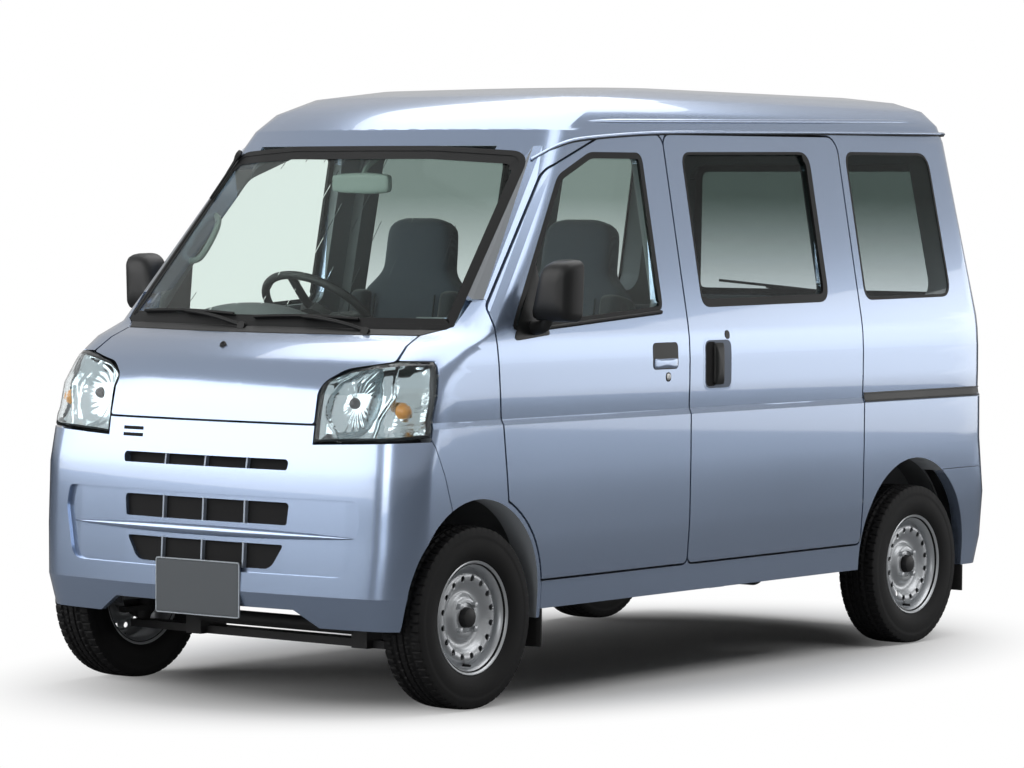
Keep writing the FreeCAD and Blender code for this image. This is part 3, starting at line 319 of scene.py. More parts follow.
def curved_shading(form):
    """Modifier group: outer faces take the form's curvature, walls and linings stay as pressed."""
    tree = bpy.data.node_groups.new("panel_curvature", "GeometryNodeTree")
    for name, way, kind in (("Geometry", "INPUT", "Geometry"), ("Paint", "INPUT", "Material"),
                            ("Lining", "INPUT", "Material"), ("Geometry", "OUTPUT", "Geometry")):
        tree.interface.new_socket(name, in_out=way, socket_type="NodeSocket" + kind)
    start = tree.nodes.new("NodeGroupInput").outputs
    vector = {"data_type": "FLOAT_VECTOR"}
    shape = add_node(tree, "GeometryNodeObjectInfo", {"transform_space": "ORIGINAL"},
                     Object=form).outputs["Geometry"]
    curved = add_node(tree, "GeometryNodeInputNamedAttribute", vector,
                      Name="curved_normal").outputs["Attribute"]
    here = tree.nodes.new("GeometryNodeInputPosition").outputs[0]
    middle = from_faces(tree, here)
    wanted = add_node(tree, "GeometryNodeSampleNearestSurface", vector, Mesh=shape, Value=curved,
                      Sample_Position=crease_probe(tree, here, middle)).outputs["Value"]
    there = add_node(tree, "GeometryNodeSampleNearestSurface", vector, Mesh=shape, Value=here,
                     Sample_Position=here).outputs["Value"]
    own = tree.nodes.new("GeometryNodeInputNormal").outputs[0]
    agree = vector_maths(tree, "DOT_PRODUCT", from_faces(tree, own), from_faces(tree, wanted))
    gap = from_faces(tree, vector_maths(tree, "DISTANCE", here, there), "FLOAT")
    outer = add_node(tree, "FunctionNodeBooleanMath", {"operation": "AND"},
                     i0=compared(tree, "LESS_THAN", gap, OUTER_GAP),
                     i1=compared(tree, "GREATER_THAN", agree, OUTER_AGREEMENT))
    sorted_faces = add_node(tree, "GeometryNodeSeparateGeometry", {"domain": "FACE"},
                            Geometry=start["Geometry"], Selection=outer.outputs[0])
    finer = add_node(tree, "GeometryNodeSubdivideMesh", Mesh=sorted_faces.outputs["Selection"], Level=2)
    rounded_faces = add_node(tree, "GeometryNodeSetMeshNormal", {"mode": "FREE", "domain": "CORNER"},
                             Mesh=finer.outputs[0], Custom_Normal=wanted)
    painted = add_node(tree, "GeometryNodeSetMaterial", Geometry=rounded_faces.outputs[0],
                       Material=start["Paint"])
    inner = add_node(tree, "GeometryNodeSetMaterial", Geometry=sorted_faces.outputs["Inverted"],
                     Material=start["Paint"])
    lined = add_node(tree, "GeometryNodeSetMaterial", Geometry=inner.outputs[0],
                     Selection=lining_faces(tree, middle, gap), Material=start["Lining"])
    joined = tree.nodes.new("GeometryNodeJoinGeometry")
    tree.links.new(lined.outputs[0], joined.inputs[0])
    tree.links.new(painted.outputs[0], joined.inputs[0])
    tree.links.new(joined.outputs[0], tree.nodes.new("NodeGroupOutput").inputs[0])
    return tree


panel_curvature = curved_shading(body_form)


def surface_grain():
    """Shader group: fine and broad variation of one colour, with a height for its texture."""
    tree = bpy.data.node_groups.new("surface_grain", "ShaderNodeTree")
    for name, kind, value in (("Color", "Color", (0.5, 0.5, 0.5, 1)), ("Variation", "Float", 0.1),
                              ("Broad Scale", "Float", 3.0), ("Fine Scale", "Float", 900.0),
                              ("Roughness", "Float", 0.5), ("Roughness Spread", "Float", 0.1)):
        socket = tree.interface.new_socket(name, in_out="INPUT", socket_type="NodeSocket" + kind)
        socket.default_value = value
    for name, kind in (("Color", "Color"), ("Roughness", "Float"), ("Height", "Float")):
        tree.interface.new_socket(name, in_out="OUTPUT", socket_type="NodeSocket" + kind)
    start = tree.nodes.new("NodeGroupInput").outputs
    place = tree.nodes.new("ShaderNodeTexCoord").outputs["Object"]
    broad = add_node(tree, "ShaderNodeTexNoise", Vector=place, Scale=start["Broad Scale"],
                     Detail=3.0).outputs[0]
    fine = add_node(tree, "ShaderNodeTexNoise", Vector=place, Scale=start["Fine Scale"],
                    Detail=2.0).outputs[0]
    swing = maths(tree, "MULTIPLY_ADD", maths(tree, "ADD", broad, fine), start["Variation"], 1.0)
    level = maths(tree, "SUBTRACT", swing, start["Variation"])
    shade = add_node(tree, "ShaderNodeVectorMath", {"operation": "SCALE"}, i0=start["Color"], Scale=level)
    rough = add_node(tree, "ShaderNodeMath", {"operation": "MULTIPLY_ADD", "use_clamp": True}, i0=broad,
                     i1=start["Roughness Spread"], i2=start["Roughness"])
    finish = tree.nodes.new("NodeGroupOutput").inputs
    tree.links.new(shade.outputs[0], finish["Color"])
    tree.links.new(rough.outputs[0], finish["Roughness"])
    tree.links.new(fine, finish["Height"])
    return tree


grain = surface_grain()


def finish_of(name, color, roughness, variation=0.08, broad=3.0, fine=900.0, spread=0.1, bump=0.1,
              depth=0.0004, **surface):
    """A material: one Principled surface with the grain group behind its colour, roughness and bump."""
    material = bpy.data.materials.new(name)
    material.use_nodes = True
    tree = material.node_tree
    surface_node = tree.nodes["Principled BSDF"]
    texture = add_node(tree, "ShaderNodeGroup", {"node_tree": grain}, Color=(*color, 1), Variation=variation,
                       Broad_Scale=broad, Fine_Scale=fine, Roughness=roughness, Roughness_Spread=spread)
    bumps = add_node(tree, "ShaderNodeBump", Strength=bump, Distance=depth, Height=texture.outputs["Height"])
    tree.links.new(texture.outputs["Color"], surface_node.inputs["Base Color"])
    tree.links.new(texture.outputs["Roughness"], surface_node.inputs["Roughness"])
    tree.links.new(bumps.outputs[0], surface_node.inputs["Normal"])
    for key, value in surface.items():
        surface_node.inputs[key.replace("_", " ")].default_value = value
    material.diffuse_color = (*color, 1)
    return material


paint = finish_of("silver_blue_paint", (0.33, 0.415, 0.575), 0.22, variation=0.05, broad=1.5, fine=2600,
                  spread=0.03, bump=0.02, depth=0.0001, Metallic=0.75, Coat_Weight=1.0, Coat_Roughness=0.03)
lining = finish_of("grey_lining", (0.26, 0.28, 0.30), 0.6, variation=0.06, fine=700, bump=0.2)


def dress_panels(names, outer=paint, inner=lining):
    """Give body nodes the curvature modifier with their outer and inner finishes."""
    for name in names:
        piece = nodes[name]
        piece.data.materials.clear()
        piece.data.materials.append(outer)
        piece.data.materials.append(inner)
        shaping = piece.modifiers.new("curvature", "NODES")
        shaping.node_group = panel_curvature
        for item in panel_curvature.interface.items_tree:
            if item.name == "Paint":
                shaping[item.identifier] = outer
            if item.name == "Lining":
                shaping[item.identifier] = inner


dress_panels(["side_frame_left", "side_frame_right", "sliding_door_left", "sliding_door_right", "roof",
              "front_door_left", "front_door_right", "front_fenders", "bonnet_lid", "tailgate"])
dress_panels(["front_bumper", "rear_bumper"], inner=paint)

# Glass
# Bonded windshield and tempered side panes, light green in front and dark behind the front doors,
# where painted light makes them paler toward their foot. Shadow and scattered light pass straight
# through, so that the cabin is lit.


def ranged(tree, value, low, high, to_low=0.0, to_high=1.0, kind="LINEAR"):
    """A value carried over from one range to another."""
    return add_node(tree, "ShaderNodeMapRange", {"interpolation_type": kind}, Value=value, From_Min=low,
                    From_Max=high, To_Min=to_low, To_Max=to_high).outputs[0]


def glass_finish(name, tint, low_painted_light=None, low=1.2, high=1.62):
    """Clear glass with a tint, which may change with height to a paler colour of painted light below."""
    material = bpy.data.materials.new(name)
    material.use_nodes = True
    tree = material.node_tree
    pane = tree.nodes["Principled BSDF"]
    pane.inputs["Transmission Weight"].default_value = 1.0
    pane.inputs["IOR"].default_value = 1.22
    place = tree.nodes.new("ShaderNodeTexCoord").outputs["Object"]
    haze = add_node(tree, "ShaderNodeTexNoise", Vector=place, Scale=5.0, Detail=2.0)
    tree.links.new(maths(tree, "MULTIPLY", haze.outputs[0], 0.012), pane.inputs["Roughness"])
    axes = add_node(tree, "ShaderNodeSeparateXYZ", Vector=place)
    shade = add_node(tree, "ShaderNodeMix", {"data_type": "RGBA"}, i0=ranged(tree, axes.outputs["Z"], low,
                                                                             high),
                     i6=(*(low_painted_light or tint), 1), i7=(*tint, 1)).outputs[2]
    tree.links.new(shade, pane.inputs["Base Color"])
    through = add_node(tree, "ShaderNodeBsdfTransparent", Color=shade)
    rays = tree.nodes.new("ShaderNodeLightPath").outputs
    soft = maths(tree, "MAXIMUM", rays["Is Shadow Ray"], rays["Is Diffuse Ray"])
    blend = add_node(tree, "ShaderNodeMixShader", i0=soft, i1=pane.outputs[0], i2=through.outputs[0])
    tree.links.new(blend.outputs[0], tree.nodes["Material Output"].inputs["Surface"])
    return material


def dress(piece, material):
    """Give one node or piece its only finish."""
    piece.data.materials.clear()
    piece.data.materials.append(material)
    for polygon in piece.data.polygons:
        polygon.material_index = 0
    return piece


clear_glass = glass_finish("green_glass", (0.86, 0.93, 0.90))
# Dark rear glass, turning paler toward its foot: the paler foot is painted light.
dark_glass = glass_finish("dark_glass", (0.20, 0.25, 0.235), (0.66, 0.71, 0.72), 1.20, 1.52)
for name in ("windshield", "front_door_glass_left", "front_door_glass_right"):
    dress(nodes[name], clear_glass)
for name in ("side_glass", "tailgate_glass"):
    dress(nodes[name], dark_glass)

# Window mouldings
# Extruded black rubber and ceramic print round each pane: a wide print round the windshield, a sash
# and belt strip on the front doors, thick rear and lower strips on the sliding doors.

rubber = finish_of("moulded_rubber", (0.006, 0.0065, 0.007), 0.42, variation=0.2, fine=1500, bump=0.15,
                   Specular_IOR_Level=0.25)


def rounded(corners, steps=6):
    """Points of a closed outline whose corners (across, up, radius) are rounded."""
    line = []
    count = len(corners)
    for i, corner in enumerate(corners):
        here = Vector(corner[:2])
        back, ahead = Vector(corners[i - 1][:2]) - here, Vector(corners[(i + 1) % count][:2]) - here
        half = back.angle(ahead) / 2
        reach = min(corner[2] / math.tan(half), 0.49 * back.length, 0.49 * ahead.length)
        start, end = here + back.normalized() * reach, here + ahead.normalized() * reach
        for k in range(steps + 1):
            t = k / steps
            line.append(tuple(start * (1 - t) ** 2 + here * 2 * t * (1 - t) + end * t * t))
    return line


def even(line, gap):
    """The same closed line with extra points, so that none lie further apart than the gap."""
    dense = []
    for a, b in zip(line, line[1:] + line[:1]):
        pieces = max(1, math.ceil(math.dist(a, b) / gap))
        dense += [(a[0] + (b[0] - a[0]) * k / pieces, a[1] + (b[1] - a[1]) * k / pieces)
                  for k in range(pieces)]
    return dense


def offset_line(line, amount):
    """A closed line moved inward by an amount, or by amount(across, up) at each point."""
    count = len(line)
    area = sum(line[i - 1][0] * line[i][1] - line[i][0] * line[i - 1][1] for i in range(count))
    way = math.copysign(1, area)
    moved = []
    for i, (across, up) in enumerate(line):
        run = Vector(line[(i + 1) % count]) - Vector(line[i - 1])
        inward = Vector((-run.y, run.x)).normalized() * way
        far = amount(across, up) if callable(amount) else amount
        moved.append((across + inward.x * far, up + inward.y * far))
    return moved


def mirrored(points, flip):
    """The points as they are, or on the right side."""
    return [Vector((-p[0], p[1], p[2])) for p in points] if flip else points


def strip_between(name, outer, inner, place, low, high, flip=False):
    """A flat strip between two closed lines, from one depth under the skin to another."""
    points = [place(*p, depth) for line, depth in ((outer, high), (inner, high), (inner, low), (outer, low))
              for p in line]
    return turn_out(mesh_object(name, mirrored(points, flip), ring_faces(4, len(outer), loop=True)))


def turn_out(piece, angle=35):
    """Make a piece's faces look outward and shade it smooth up to an angle."""
    shape = bmesh.new()
    shape.from_mesh(piece.data)
    bmesh.ops.recalc_face_normals(shape, faces=shape.faces)
    for edge in shape.edges:
        edge.smooth = len(edge.link_faces) == 2 and edge.calc_face_angle(3.2) < math.radians(angle)
    for face in shape.faces:
        face.smooth = True
    shape.to_mesh(piece.data)
    shape.free()
    return piece


# Window outlines as corners in mm: distance behind the front axle or across, height, corner radius.
BELT = 1160
FRONT_WINDOW = [(160, BELT - 50, 20), (955, BELT, 35), (955, 1651, 35), (680, 1649, 120), (500, 1576, 100)]
SLIDER_WINDOW = [(1171, BELT + 6, 45), (1911, BELT + 14, 60), (1911, 1668, 60), (1171, 1656, 45)]
QUARTER_WINDOW = [(2131, BELT + 16, 45), (2686, BELT + 22, 60), (2661, 1676, 70), (2131, 1672, 45)]
SCREEN = [(638, 1124, 20), (574, 1640, 60), (280, 1657, 900), (-280, 1657, 900), (-574, 1640, 60),
          (-638, 1124, 20)]
GATE_WINDOW = [(530, 1165, 50), (488, 1640, 60), (-488, 1640, 60), (-530, 1165, 50)]

front_window, slider_window, quarter_window, gate_line = (
    even(rounded(window), 60) for window in (FRONT_WINDOW, SLIDER_WINDOW, QUARTER_WINDOW, GATE_WINDOW))
screen_line = even(rounded(SCREEN, 8), 40)
for side in ("left", "right"):
    for name, line, width, back, front, body in (
            ("door_sash", front_window, lambda along, up: 20 if up > 1190 else 14, 9.5, -0.5,
             "front_door_" + side),
            ("slider_window_strip", slider_window, lambda along, up: 26 if along > 1880 or up < 1190 else 9,
             9.5, -0.5, "body"),
            ("quarter_window_strip", quarter_window, 10, 5, -0.3, "body")):
        strip = strip_between("%s_%s" % (name, side), line, offset_line(line, width), side_point, back, front,
                              side == "right")
        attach(dress(strip, rubber), body)
screen_inner = offset_line(screen_line, lambda across, up: 34 if up > 1600 else 24)
for name, outer, inner, place, back, front, body in (
        ("windshield_print", screen_line, screen_inner, nose_point, 1.9, 0.6, "body"),
        ("windshield_seal", offset_line(screen_line, -7), offset_line(screen_line, 8), nose_point, 1.0, -1.0,
         "body"),
        ("tailgate_window_print", gate_line, offset_line(gate_line, 26), tail_point, 1.9, 0.2, "tailgate")):
    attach(dress(strip_between(name, outer, inner, place, back, front), rubber), body)

# Wheels and tyres
# Pressed steel wheels painted silver, with round vents, four nuts and a black centre cap, and narrow
# commercial tyres with ribs and small blocks.

wheel_paint = finish_of("silver_wheel_paint", (0.50, 0.52, 0.54), 0.34, variation=0.1, broad=9, fine=1400,
                        bump=0.05, Metallic=0.6, Coat_Weight=0.3)
tyre_rubber = finish_of("tyre_rubber", (0.006, 0.006, 0.0065), 0.6, variation=0.35, broad=14, fine=1100,
                        bump=0.35, Specular_IOR_Level=0.25)
cap_plastic = finish_of("black_cap_plastic", (0.010, 0.010, 0.011), 0.42, variation=0.15, bump=0.12,
                        Specular_IOR_Level=0.35)


def turned(name, profile, steps, cut=None):
    """A closed ring turned about the X axis from (across, radius) points in mm, less a cut's depth."""
    points = []
    for i in range(steps):
        angle = 2 * math.pi * i / steps
        for k, (across, radius) in enumerate(profile):
            far = radius - (cut(k, i) if cut else 0)
            points.append((across / 1000, far * math.cos(angle) / 1000, far * math.sin(angle) / 1000))
    return turn_out(mesh_object(name, points, ring_faces(steps, len(profile), loop=True)), 40)


DISC_FRONT = [(20, 150), (21, 143), (25, 137), (32, 133), (37, 129), (39, 124), (38.5, 117), (37, 110),
              (33, 104),
              (26, 99), (20, 93), (17, 86), (16, 78), (17, 71), (21, 66), (28, 62), (32, 58), (33, 52),
              (33, 44)]
DISC_STEPS, VENTS, VENT_CIRCLE, VENT_RADIUS = 192, 16, 117, 9.5


def cut_vent(shape, angle):
    """Open one round vent in the disc, with its edge drawn to a true circle."""
    centre = Vector((0, VENT_CIRCLE * math.cos(angle), VENT_CIRCLE * math.sin(angle))) / 1000
    radius = VENT_RADIUS / 1000
    inside = [f for f in shape.faces if (f.calc_center_median() - centre).yz.length < radius * 0.98]
    bmesh.ops.delete(shape, geom=inside, context="FACES")
    for vert in shape.verts:
        off = (vert.co - centre).yz
        if vert.is_boundary and off.length < radius * 1.5:
            vert.co.yz = centre.yz + off.normalized() * VENT_RADIUS / 1000


def wheel_disc():
    """The pressed disc, with its vents left open."""
    points = [Vector((across, radius * math.cos(angle), radius * math.sin(angle))) / 1000
              for angle in (2 * math.pi * i / DISC_STEPS for i in range(DISC_STEPS)) for across,
              radius in DISC_FRONT]
    piece = mesh_object("wheel_disc_form", points, ring_faces(DISC_STEPS, len(DISC_FRONT), loop=True,
                                                              closed=False))
    shape = bmesh.new()
    shape.from_mesh(piece.data)
    for vent in range(VENTS):
        cut_vent(shape, 2 * math.pi * (vent + 0.5) / VENTS)
    shape.to_mesh(piece.data)
    shape.free()
    thick = piece.modifiers.new("plate", "SOLIDIFY")
    thick.thickness = 0.0035
    thick.offset = 0
    return piece


def applied(piece):
    """The piece's mesh with its modifiers baked in."""
    shown = piece.evaluated_get(bpy.context.evaluated_depsgraph_get())
    mesh = bpy.data.meshes.new_from_object(shown)
    piece.modifiers.clear()
    piece.data = mesh
    return piece


def joined_mesh(name, pieces):
    """One mesh made of several pieces, which are then removed."""
    shape = bmesh.new()
    materials = []
    for piece in pieces:
        mesh = piece.data.copy()
        mesh.transform(piece.matrix_basis)
        offset = {}
        for index, material in enumerate(piece.data.materials):
            if material not in materials:
                materials.append(material)
            offset[index] = materials.index(material)
        before = len(shape.faces)
        shape.from_mesh(mesh)
        shape.faces.ensure_lookup_table()
        for face in shape.faces[before:]:
            face.material_index = offset.get(face.material_index, 0)
        bpy.data.meshes.remove(mesh)
    result = bpy.data.meshes.new(name)
    shape.to_mesh(result)
    shape.free()
    for material in materials:
        result.materials.append(material)
    for piece in pieces:
        bpy.data.objects.remove(piece)
    return result


def drum(name, radius, low, high, sides=32, bevel=0.0, narrow=1.0, centre=(0, 0)):
    """A short round boss along X, its outer end rounded or narrowed."""
    profile = [(low, radius), (high - bevel, radius * narrow), (high - bevel * 0.3,
                                                                radius * narrow - bevel * 0.3),
               (high, radius * narrow - bevel)]
    points = []
    for across, far in profile:
        for i in range(sides):
            angle = 2 * math.pi * i / sides
            points.append((across / 1000, (centre[0] + far * math.cos(angle)) / 1000,
                           (centre[1] + far * math.sin(angle)) / 1000))
    faces = ring_faces(len(profile) - 1, sides)
    faces += [tuple(range(len(points) - sides, len(points))), tuple(reversed(range(sides)))]
    return turn_out(mesh_object(name, points, faces), 30)


# Section of the rim's barrel: across and radius in mm.
BARREL = [
    (56, 165), (58, 168), (61, 169), (63, 167), (62, 164), (58, 161), (53, 159), (49, 155), (44, 152),
    (36, 150),
    (20, 148.5), (-46, 148.5), (-52, 153), (-57, 160), (-60, 164), (-61, 168), (-58, 169), (-55, 167),
    (-50, 162), (-44, 156), (-16, 152), (36, 153), (46, 158), (52, 162)]
nut_angles = [math.radians(45 + 90 * index) for index in range(4)]
wheel_parts = [(turned("wheel_barrel", BARREL, 128), wheel_paint), (turn_out(applied(wheel_disc()), 40),
                                                                    wheel_paint),
               (drum("wheel_cap", 31, 28, 52, sides=40, bevel=6, narrow=0.93), cap_plastic),
               (drum("wheel_hub_plate", 46, 24, 31, sides=48, bevel=1), wheel_paint),
               (drum("wheel_valve", 4, 18, 52, sides=12, bevel=1, centre=(0, -141)), cap_plastic)]
wheel_parts += [(drum("wheel_nut", 9.5, 30, 46, sides=6, bevel=2, centre=(50 * math.cos(a),
                                                                          50 * math.sin(a))),
                 wheel_paint) for a in nut_angles]
for part, finish in wheel_parts:
    part.data.materials.append(finish)
wheel_mesh = joined_mesh("steel_wheel", [part for part, finish in wheel_parts])

# Half of the tread's stops across, in mm, and those of them that lie in a groove.
TREAD_STOPS = [8, 10.5, 13.5, 16, 24, 29.5, 33, 36.5, 40, 50, 57.5, 58.5, 62, 66]
TREAD = [-stop for stop in reversed(TREAD_STOPS)] + [0] + TREAD_STOPS
GROOVES = {-36.5, -33, -29.5, -13.5, -10.5, 10.5, 13.5, 29.5, 33, 36.5}
left_wall = [(-57, 158), (-58, 166), (-64, 174), (-69.5, 188), (-72, 205), (-72.4, 216), (-71.5, 230),
             (-70.6, 238), (-71.0, 240), (-70, 247), (-69, 256), (-67.5, 263)]
tread_line = [(across, 270.8 - 4.0 * (abs(across) / 66) ** 4) for across in TREAD]
tyre_line = left_wall + tread_line + [(-across, radius) for across, radius in reversed(left_wall)]
tyre_line += [(40, 156), (-40, 156)]
GROOVE_DEPTH, SHOULDER_SIPE, MIDDLE_SIPE, LUG_CUT = 5.5, 4.5, 2.5, 2.2


def tread_cut(index, step):
    """Depth of grooves, sipes and shoulder lugs at one spot of the tyre's section."""
    across, radius = tyre_line[index]
    if 0 <= index - len(left_wall) < len(TREAD):
        if across in GROOVES:
            return GROOVE_DEPTH
        phase = (step + int((across + 72) / 24) * 3) % 7
        if phase == 0 and abs(across) > 14:
            return SHOULDER_SIPE
        return MIDDLE_SIPE if phase == 3 and abs(across) <= 14 else 0.0
    return LUG_CUT if 255 < radius < 266 and step % 7 < 2 else 0.0


tyre = turned("tyre_form", tyre_line, 420, tread_cut)
tyre.data.materials.append(tyre_rubber)
tyre_mesh = joined_mesh("commercial_tyre", [tyre])
REAR_AXLE, WHEEL_HEIGHT = FRONT_AXLE + 2450, 0.271
for end, along, reach in (("front", FRONT_AXLE, 652.5), ("rear", REAR_AXLE, 650)):
    for side, way in (("left", 1), ("right", -1)):
        for kind, mesh, slot in (("wheel", wheel_mesh, "wheel_silver"), ("tyre", tyre_mesh, "tyre_rubber")):
            piece = bpy.data.objects.new("%s_%s_%s_full" % (kind, end, side), mesh)
            bpy.context.scene.collection.objects.link(piece)
            piece.location = (way * reach / 1000, along / 1000, WHEEL_HEIGHT)
            piece.rotation_euler = (0, 0, 0 if way > 0 else math.pi)
            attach(piece, "wheel_%s_%s" % (end, side))
            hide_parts("%s_%s_%s" % (kind, end, side))
dress(nodes["spare_wheel"], tyre_rubber)

# Headlamps
# Clear moulded lens over a bright bowl: a deep round reflector with its bulb, a ribbed outer turn
# section with an amber bulb cover, and a dark rim round the housing.


# The lamp's edges: shares of the way round it against heights in mm, and the panel seam behind it.
LAMP_TOP = ((0, 966), (0.05, 984), (0.11, 999), (0.17, 1004), (0.35, 1016), (0.6, 1025), (0.8, 1029),
            (1.0, 1026))
LAMP_LOW = ((0, 790), (0.4, 796), (0.7, 800), (1.0, 811))
SEAM = ((786, -208), (806, -224), (1028, -163), (1040, -160))
LAMP_INNER, LAMP_CORNER, LAMP_LEAN, SEAM_GAP = 404, 962, 1.2, 3


def table_value(table, at):
    """Straight-line value in a short table."""
    for (a, p), (b, q) in zip(table, table[1:]):
        if at <= b:
            return p + (q - p) * max(0, (at - a) / (b - a))
    return table[-1][1]


def length_at(ring, run, axis, value):
    """Running length at which a half outline reaches a place across (axis 0) or along (axis 1)."""
    for a, b, s, t in zip(ring, ring[1:], run, run[1:]):
        if a[axis] <= value <= b[axis]:
            return s + (value - a[axis]) / (b[axis] - a[axis]) * (t - s)
    return run[-1]


def spot_at(ring, run, distance):
    """Spot at a running length along a half outline."""
    for a, b, s, t in zip(ring, ring[1:], run, run[1:]):
        if s <= distance <= t:
            share = (distance - s) / (t - s)
            return a[0] + (b[0] - a[0]) * share, a[1] + (b[1] - a[1]) * share
    return ring[-1]


def lamp_point(u, v, depth=0.0):
    """A spot on the left lamp: u runs from its inner edge round the corner, v from low to high."""
    low, high = table_value(LAMP_LOW, u), table_value(LAMP_TOP, u)
    z = low + (high - low) * v
    ring = ring_at(z, depth)
    ring = [(0.0, ring[0][1])] + ring
    run = [0.0]
    for a, b in zip(ring, ring[1:]):
        run.append(run[-1] + math.dist(a, b))
    start = length_at(ring, run, 0, LAMP_INNER + max(0, z - LAMP_CORNER) * LAMP_LEAN)
    end = length_at(ring, run, 1, table_value(SEAM, z) + FRONT_AXLE - SEAM_GAP)
    return Vector((*spot_at(ring, run, start + (end - start) * u), z)) / 1000


def lamp_sheet(name, columns, rows, depth, flip, span=(0, 1, 0, 1)):
    """A curved sheet over part of the lamp, with depth(u, v) in mm under the skin."""
    points, faces = [], []
    for i in range(columns + 1):
        u = span[0] + (span[1] - span[0]) * i / columns
        for k in range(rows + 1):
            v = span[2] + (span[3] - span[2]) * k / rows
            points.append(lamp_point(u, v, depth(u, v)))
    for i in range(columns):
        for k in range(rows):
            a = i * (rows + 1) + k
            faces.append((a, a + rows + 1, a + rows + 2, a + 1))
    return mesh_object(name, mirrored(points, flip), faces)


lens_clear = glass_finish("lamp_lens_clear", (0.93, 0.96, 0.97))
reflector = finish_of("lamp_reflector", (0.40, 0.46, 0.48), 0.09, variation=0.04, fine=500, spread=0.05,
                      bump=0.02, Metallic=1.0)
lamp_bezel = finish_of("lamp_bezel", (0.018, 0.021, 0.023), 0.3, variation=0.1, bump=0.06, Metallic=0.3)
turn_clear = glass_finish("turn_lens_clear", (0.90, 0.88, 0.86))
amber = finish_of("amber_cover", (0.85, 0.36, 0.05), 0.25, variation=0.1, fine=300, bump=0.1, Coat_Weight=0.6)
# The bowl's parts, as shares of the lamp's length and height, and their depths in mm.
ROUND_U, ROUND_V, ROUND_SIZE, ROUND_DEPTH = 0.31, 0.50, 0.29, 46
FLUTES, FLUTE_HEIGHT = 26, 1.3
RIM_DEPTH, BOWL_FALL, WALL_HEIGHT, CHAMBER_DEPTH = 6, 24, 16, 16
CHAMBER_EDGE = ((0, 0.54), (0.3, 0.60), (0.55, 0.69), (0.75, 0.67), (1, 0.60))


def bowl_depth(u, v):
    """Depth of the bright bowl: a rim at the edge, a fluted round dish, a wall and an outer chamber."""
    edge = min(u / 0.06, (1 - u) / 0.05, v / 0.12, (1 - v) / 0.10, 1)
    base = RIM_DEPTH + BOWL_FALL * max(edge, 0) ** 0.6
    far = math.hypot((u - ROUND_U) * 1.05, (v - ROUND_V) * 0.62) / ROUND_SIZE
    around = math.atan2(v - ROUND_V, u - ROUND_U)
    flute = FLUTE_HEIGHT * math.sin(around * FLUTES) * far
    dish = ROUND_DEPTH * math.sqrt(1 - far * far) + flute if far < 1 else 0.0
    past_wall = u - table_value(CHAMBER_EDGE, v)
    ridge = max(0.0, 1 - abs(past_wall) / 0.025) * WALL_HEIGHT * max(edge, 0)
    outer = CHAMBER_DEPTH * math.sin(math.pi * min(1, past_wall / 0.34)) if past_wall > 0 else 0
    return base + dish + outer - ridge


def lamp_rim(name, flip):
    """The dark rim round the lamp: a flat lip and a wall that runs back to the bowl."""
    border = [(i / 40, 0) for i in range(41)] + [(1, k / 16) for k in range(1, 17)]
    border += [(1 - i / 40, 1) for i in range(1, 41)] + [(0, 1 - k / 16) for k in range(1, 16)]
    points = [lamp_point(u + (0.5 - u) * inset, v + (0.5 - v) * inset * 2.6, depth)
              for inset, depth in ((0, 3.4), (0.035, 3.4), (0.035, 12), (0, 60)) for u, v in border]
    return mesh_object(name, mirrored(points, flip), ring_faces(3, len(border)))


def lamp_bulb(name, u, v, radius, depth, flip):
    """A rounded bulb or cover that stands in the lamp and points out through the lens."""
    spot = lamp_point(u, v, depth)
    outward = (lamp_point(u, v, 0) - spot).normalized()
    bpy.ops.mesh.primitive_uv_sphere_add(segments=28, ring_count=16, radius=radius / 1000)
    bulb = bpy.context.active_object
    bulb.name = name
    for vertex in bulb.data.vertices:
        vertex.co.z *= 1.25 if vertex.co.z > 0 else 0.4
    bulb.data.shade_smooth()
    bulb.location, outward = mirrored([spot, outward], flip)
    bulb.rotation_mode = "QUATERNION"
    bulb.rotation_quaternion = outward.to_track_quat("Z", "Y")
    return bulb


for side, flip in (("left", False), ("right", True)):
    lens_piece = lamp_sheet("headlamp_lens_" + side, 40, 16, lambda u, v: 0.2, flip)
    thick = lens_piece.modifiers.new("lens_wall", "SOLIDIFY")
    thick.thickness = 0.003
    thick.offset = 1 if flip else -1
    bowl = lamp_sheet("headlamp_bowl_" + side, 130, 60, bowl_depth, flip)
    ribbed = lamp_sheet("turn_lens_" + side, 30, 60, lambda u, v: 11 + 1.1 * math.sin(v * 118), flip,
                        (0.70, 0.96, 0.10, 0.66))
    for piece, finish, slot in (
            (lens_piece, lens_clear, "lamp_lens"), (bowl, reflector, "lamp_lens"),
            (ribbed, turn_clear, "lamp_lens"),
            (lamp_rim("headlamp_bezel_" + side, flip), lamp_bezel, "black_plastic"),
            (lamp_bulb("headlamp_main_bulb_" + side, ROUND_U, ROUND_V, 17, 40, flip), lamp_bezel,
             "lamp_lens"),
            (lamp_bulb("headlamp_turn_cover_" + side, 0.80, 0.36, 24, 36, flip), amber, "lamp_lens")):
        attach(dress(piece, finish), "body")
    if side == "left":
        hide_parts("headlamps")

# Front openings
# Three openings in the bumper moulding, each a dark moulded tray with three pale upright bars. The
# trays clip in behind the bumper skin.

# Near-black finish for the grille trays. The same finish is painted shade in the nose vent slots and in the
# front of the sliding doors' handle cups.
black_tray_and_painted_shade = finish_of("black_tray_and_painted_shade", (0.003, 0.003, 0.0035), 0.85, variation=0.3, fine=700, bump=0.2)
bar_plastic = finish_of("grille_bar_plastic", (0.34, 0.39, 0.46), 0.34, variation=0.1, fine=900, bump=0.08,
                        Metallic=0.25)


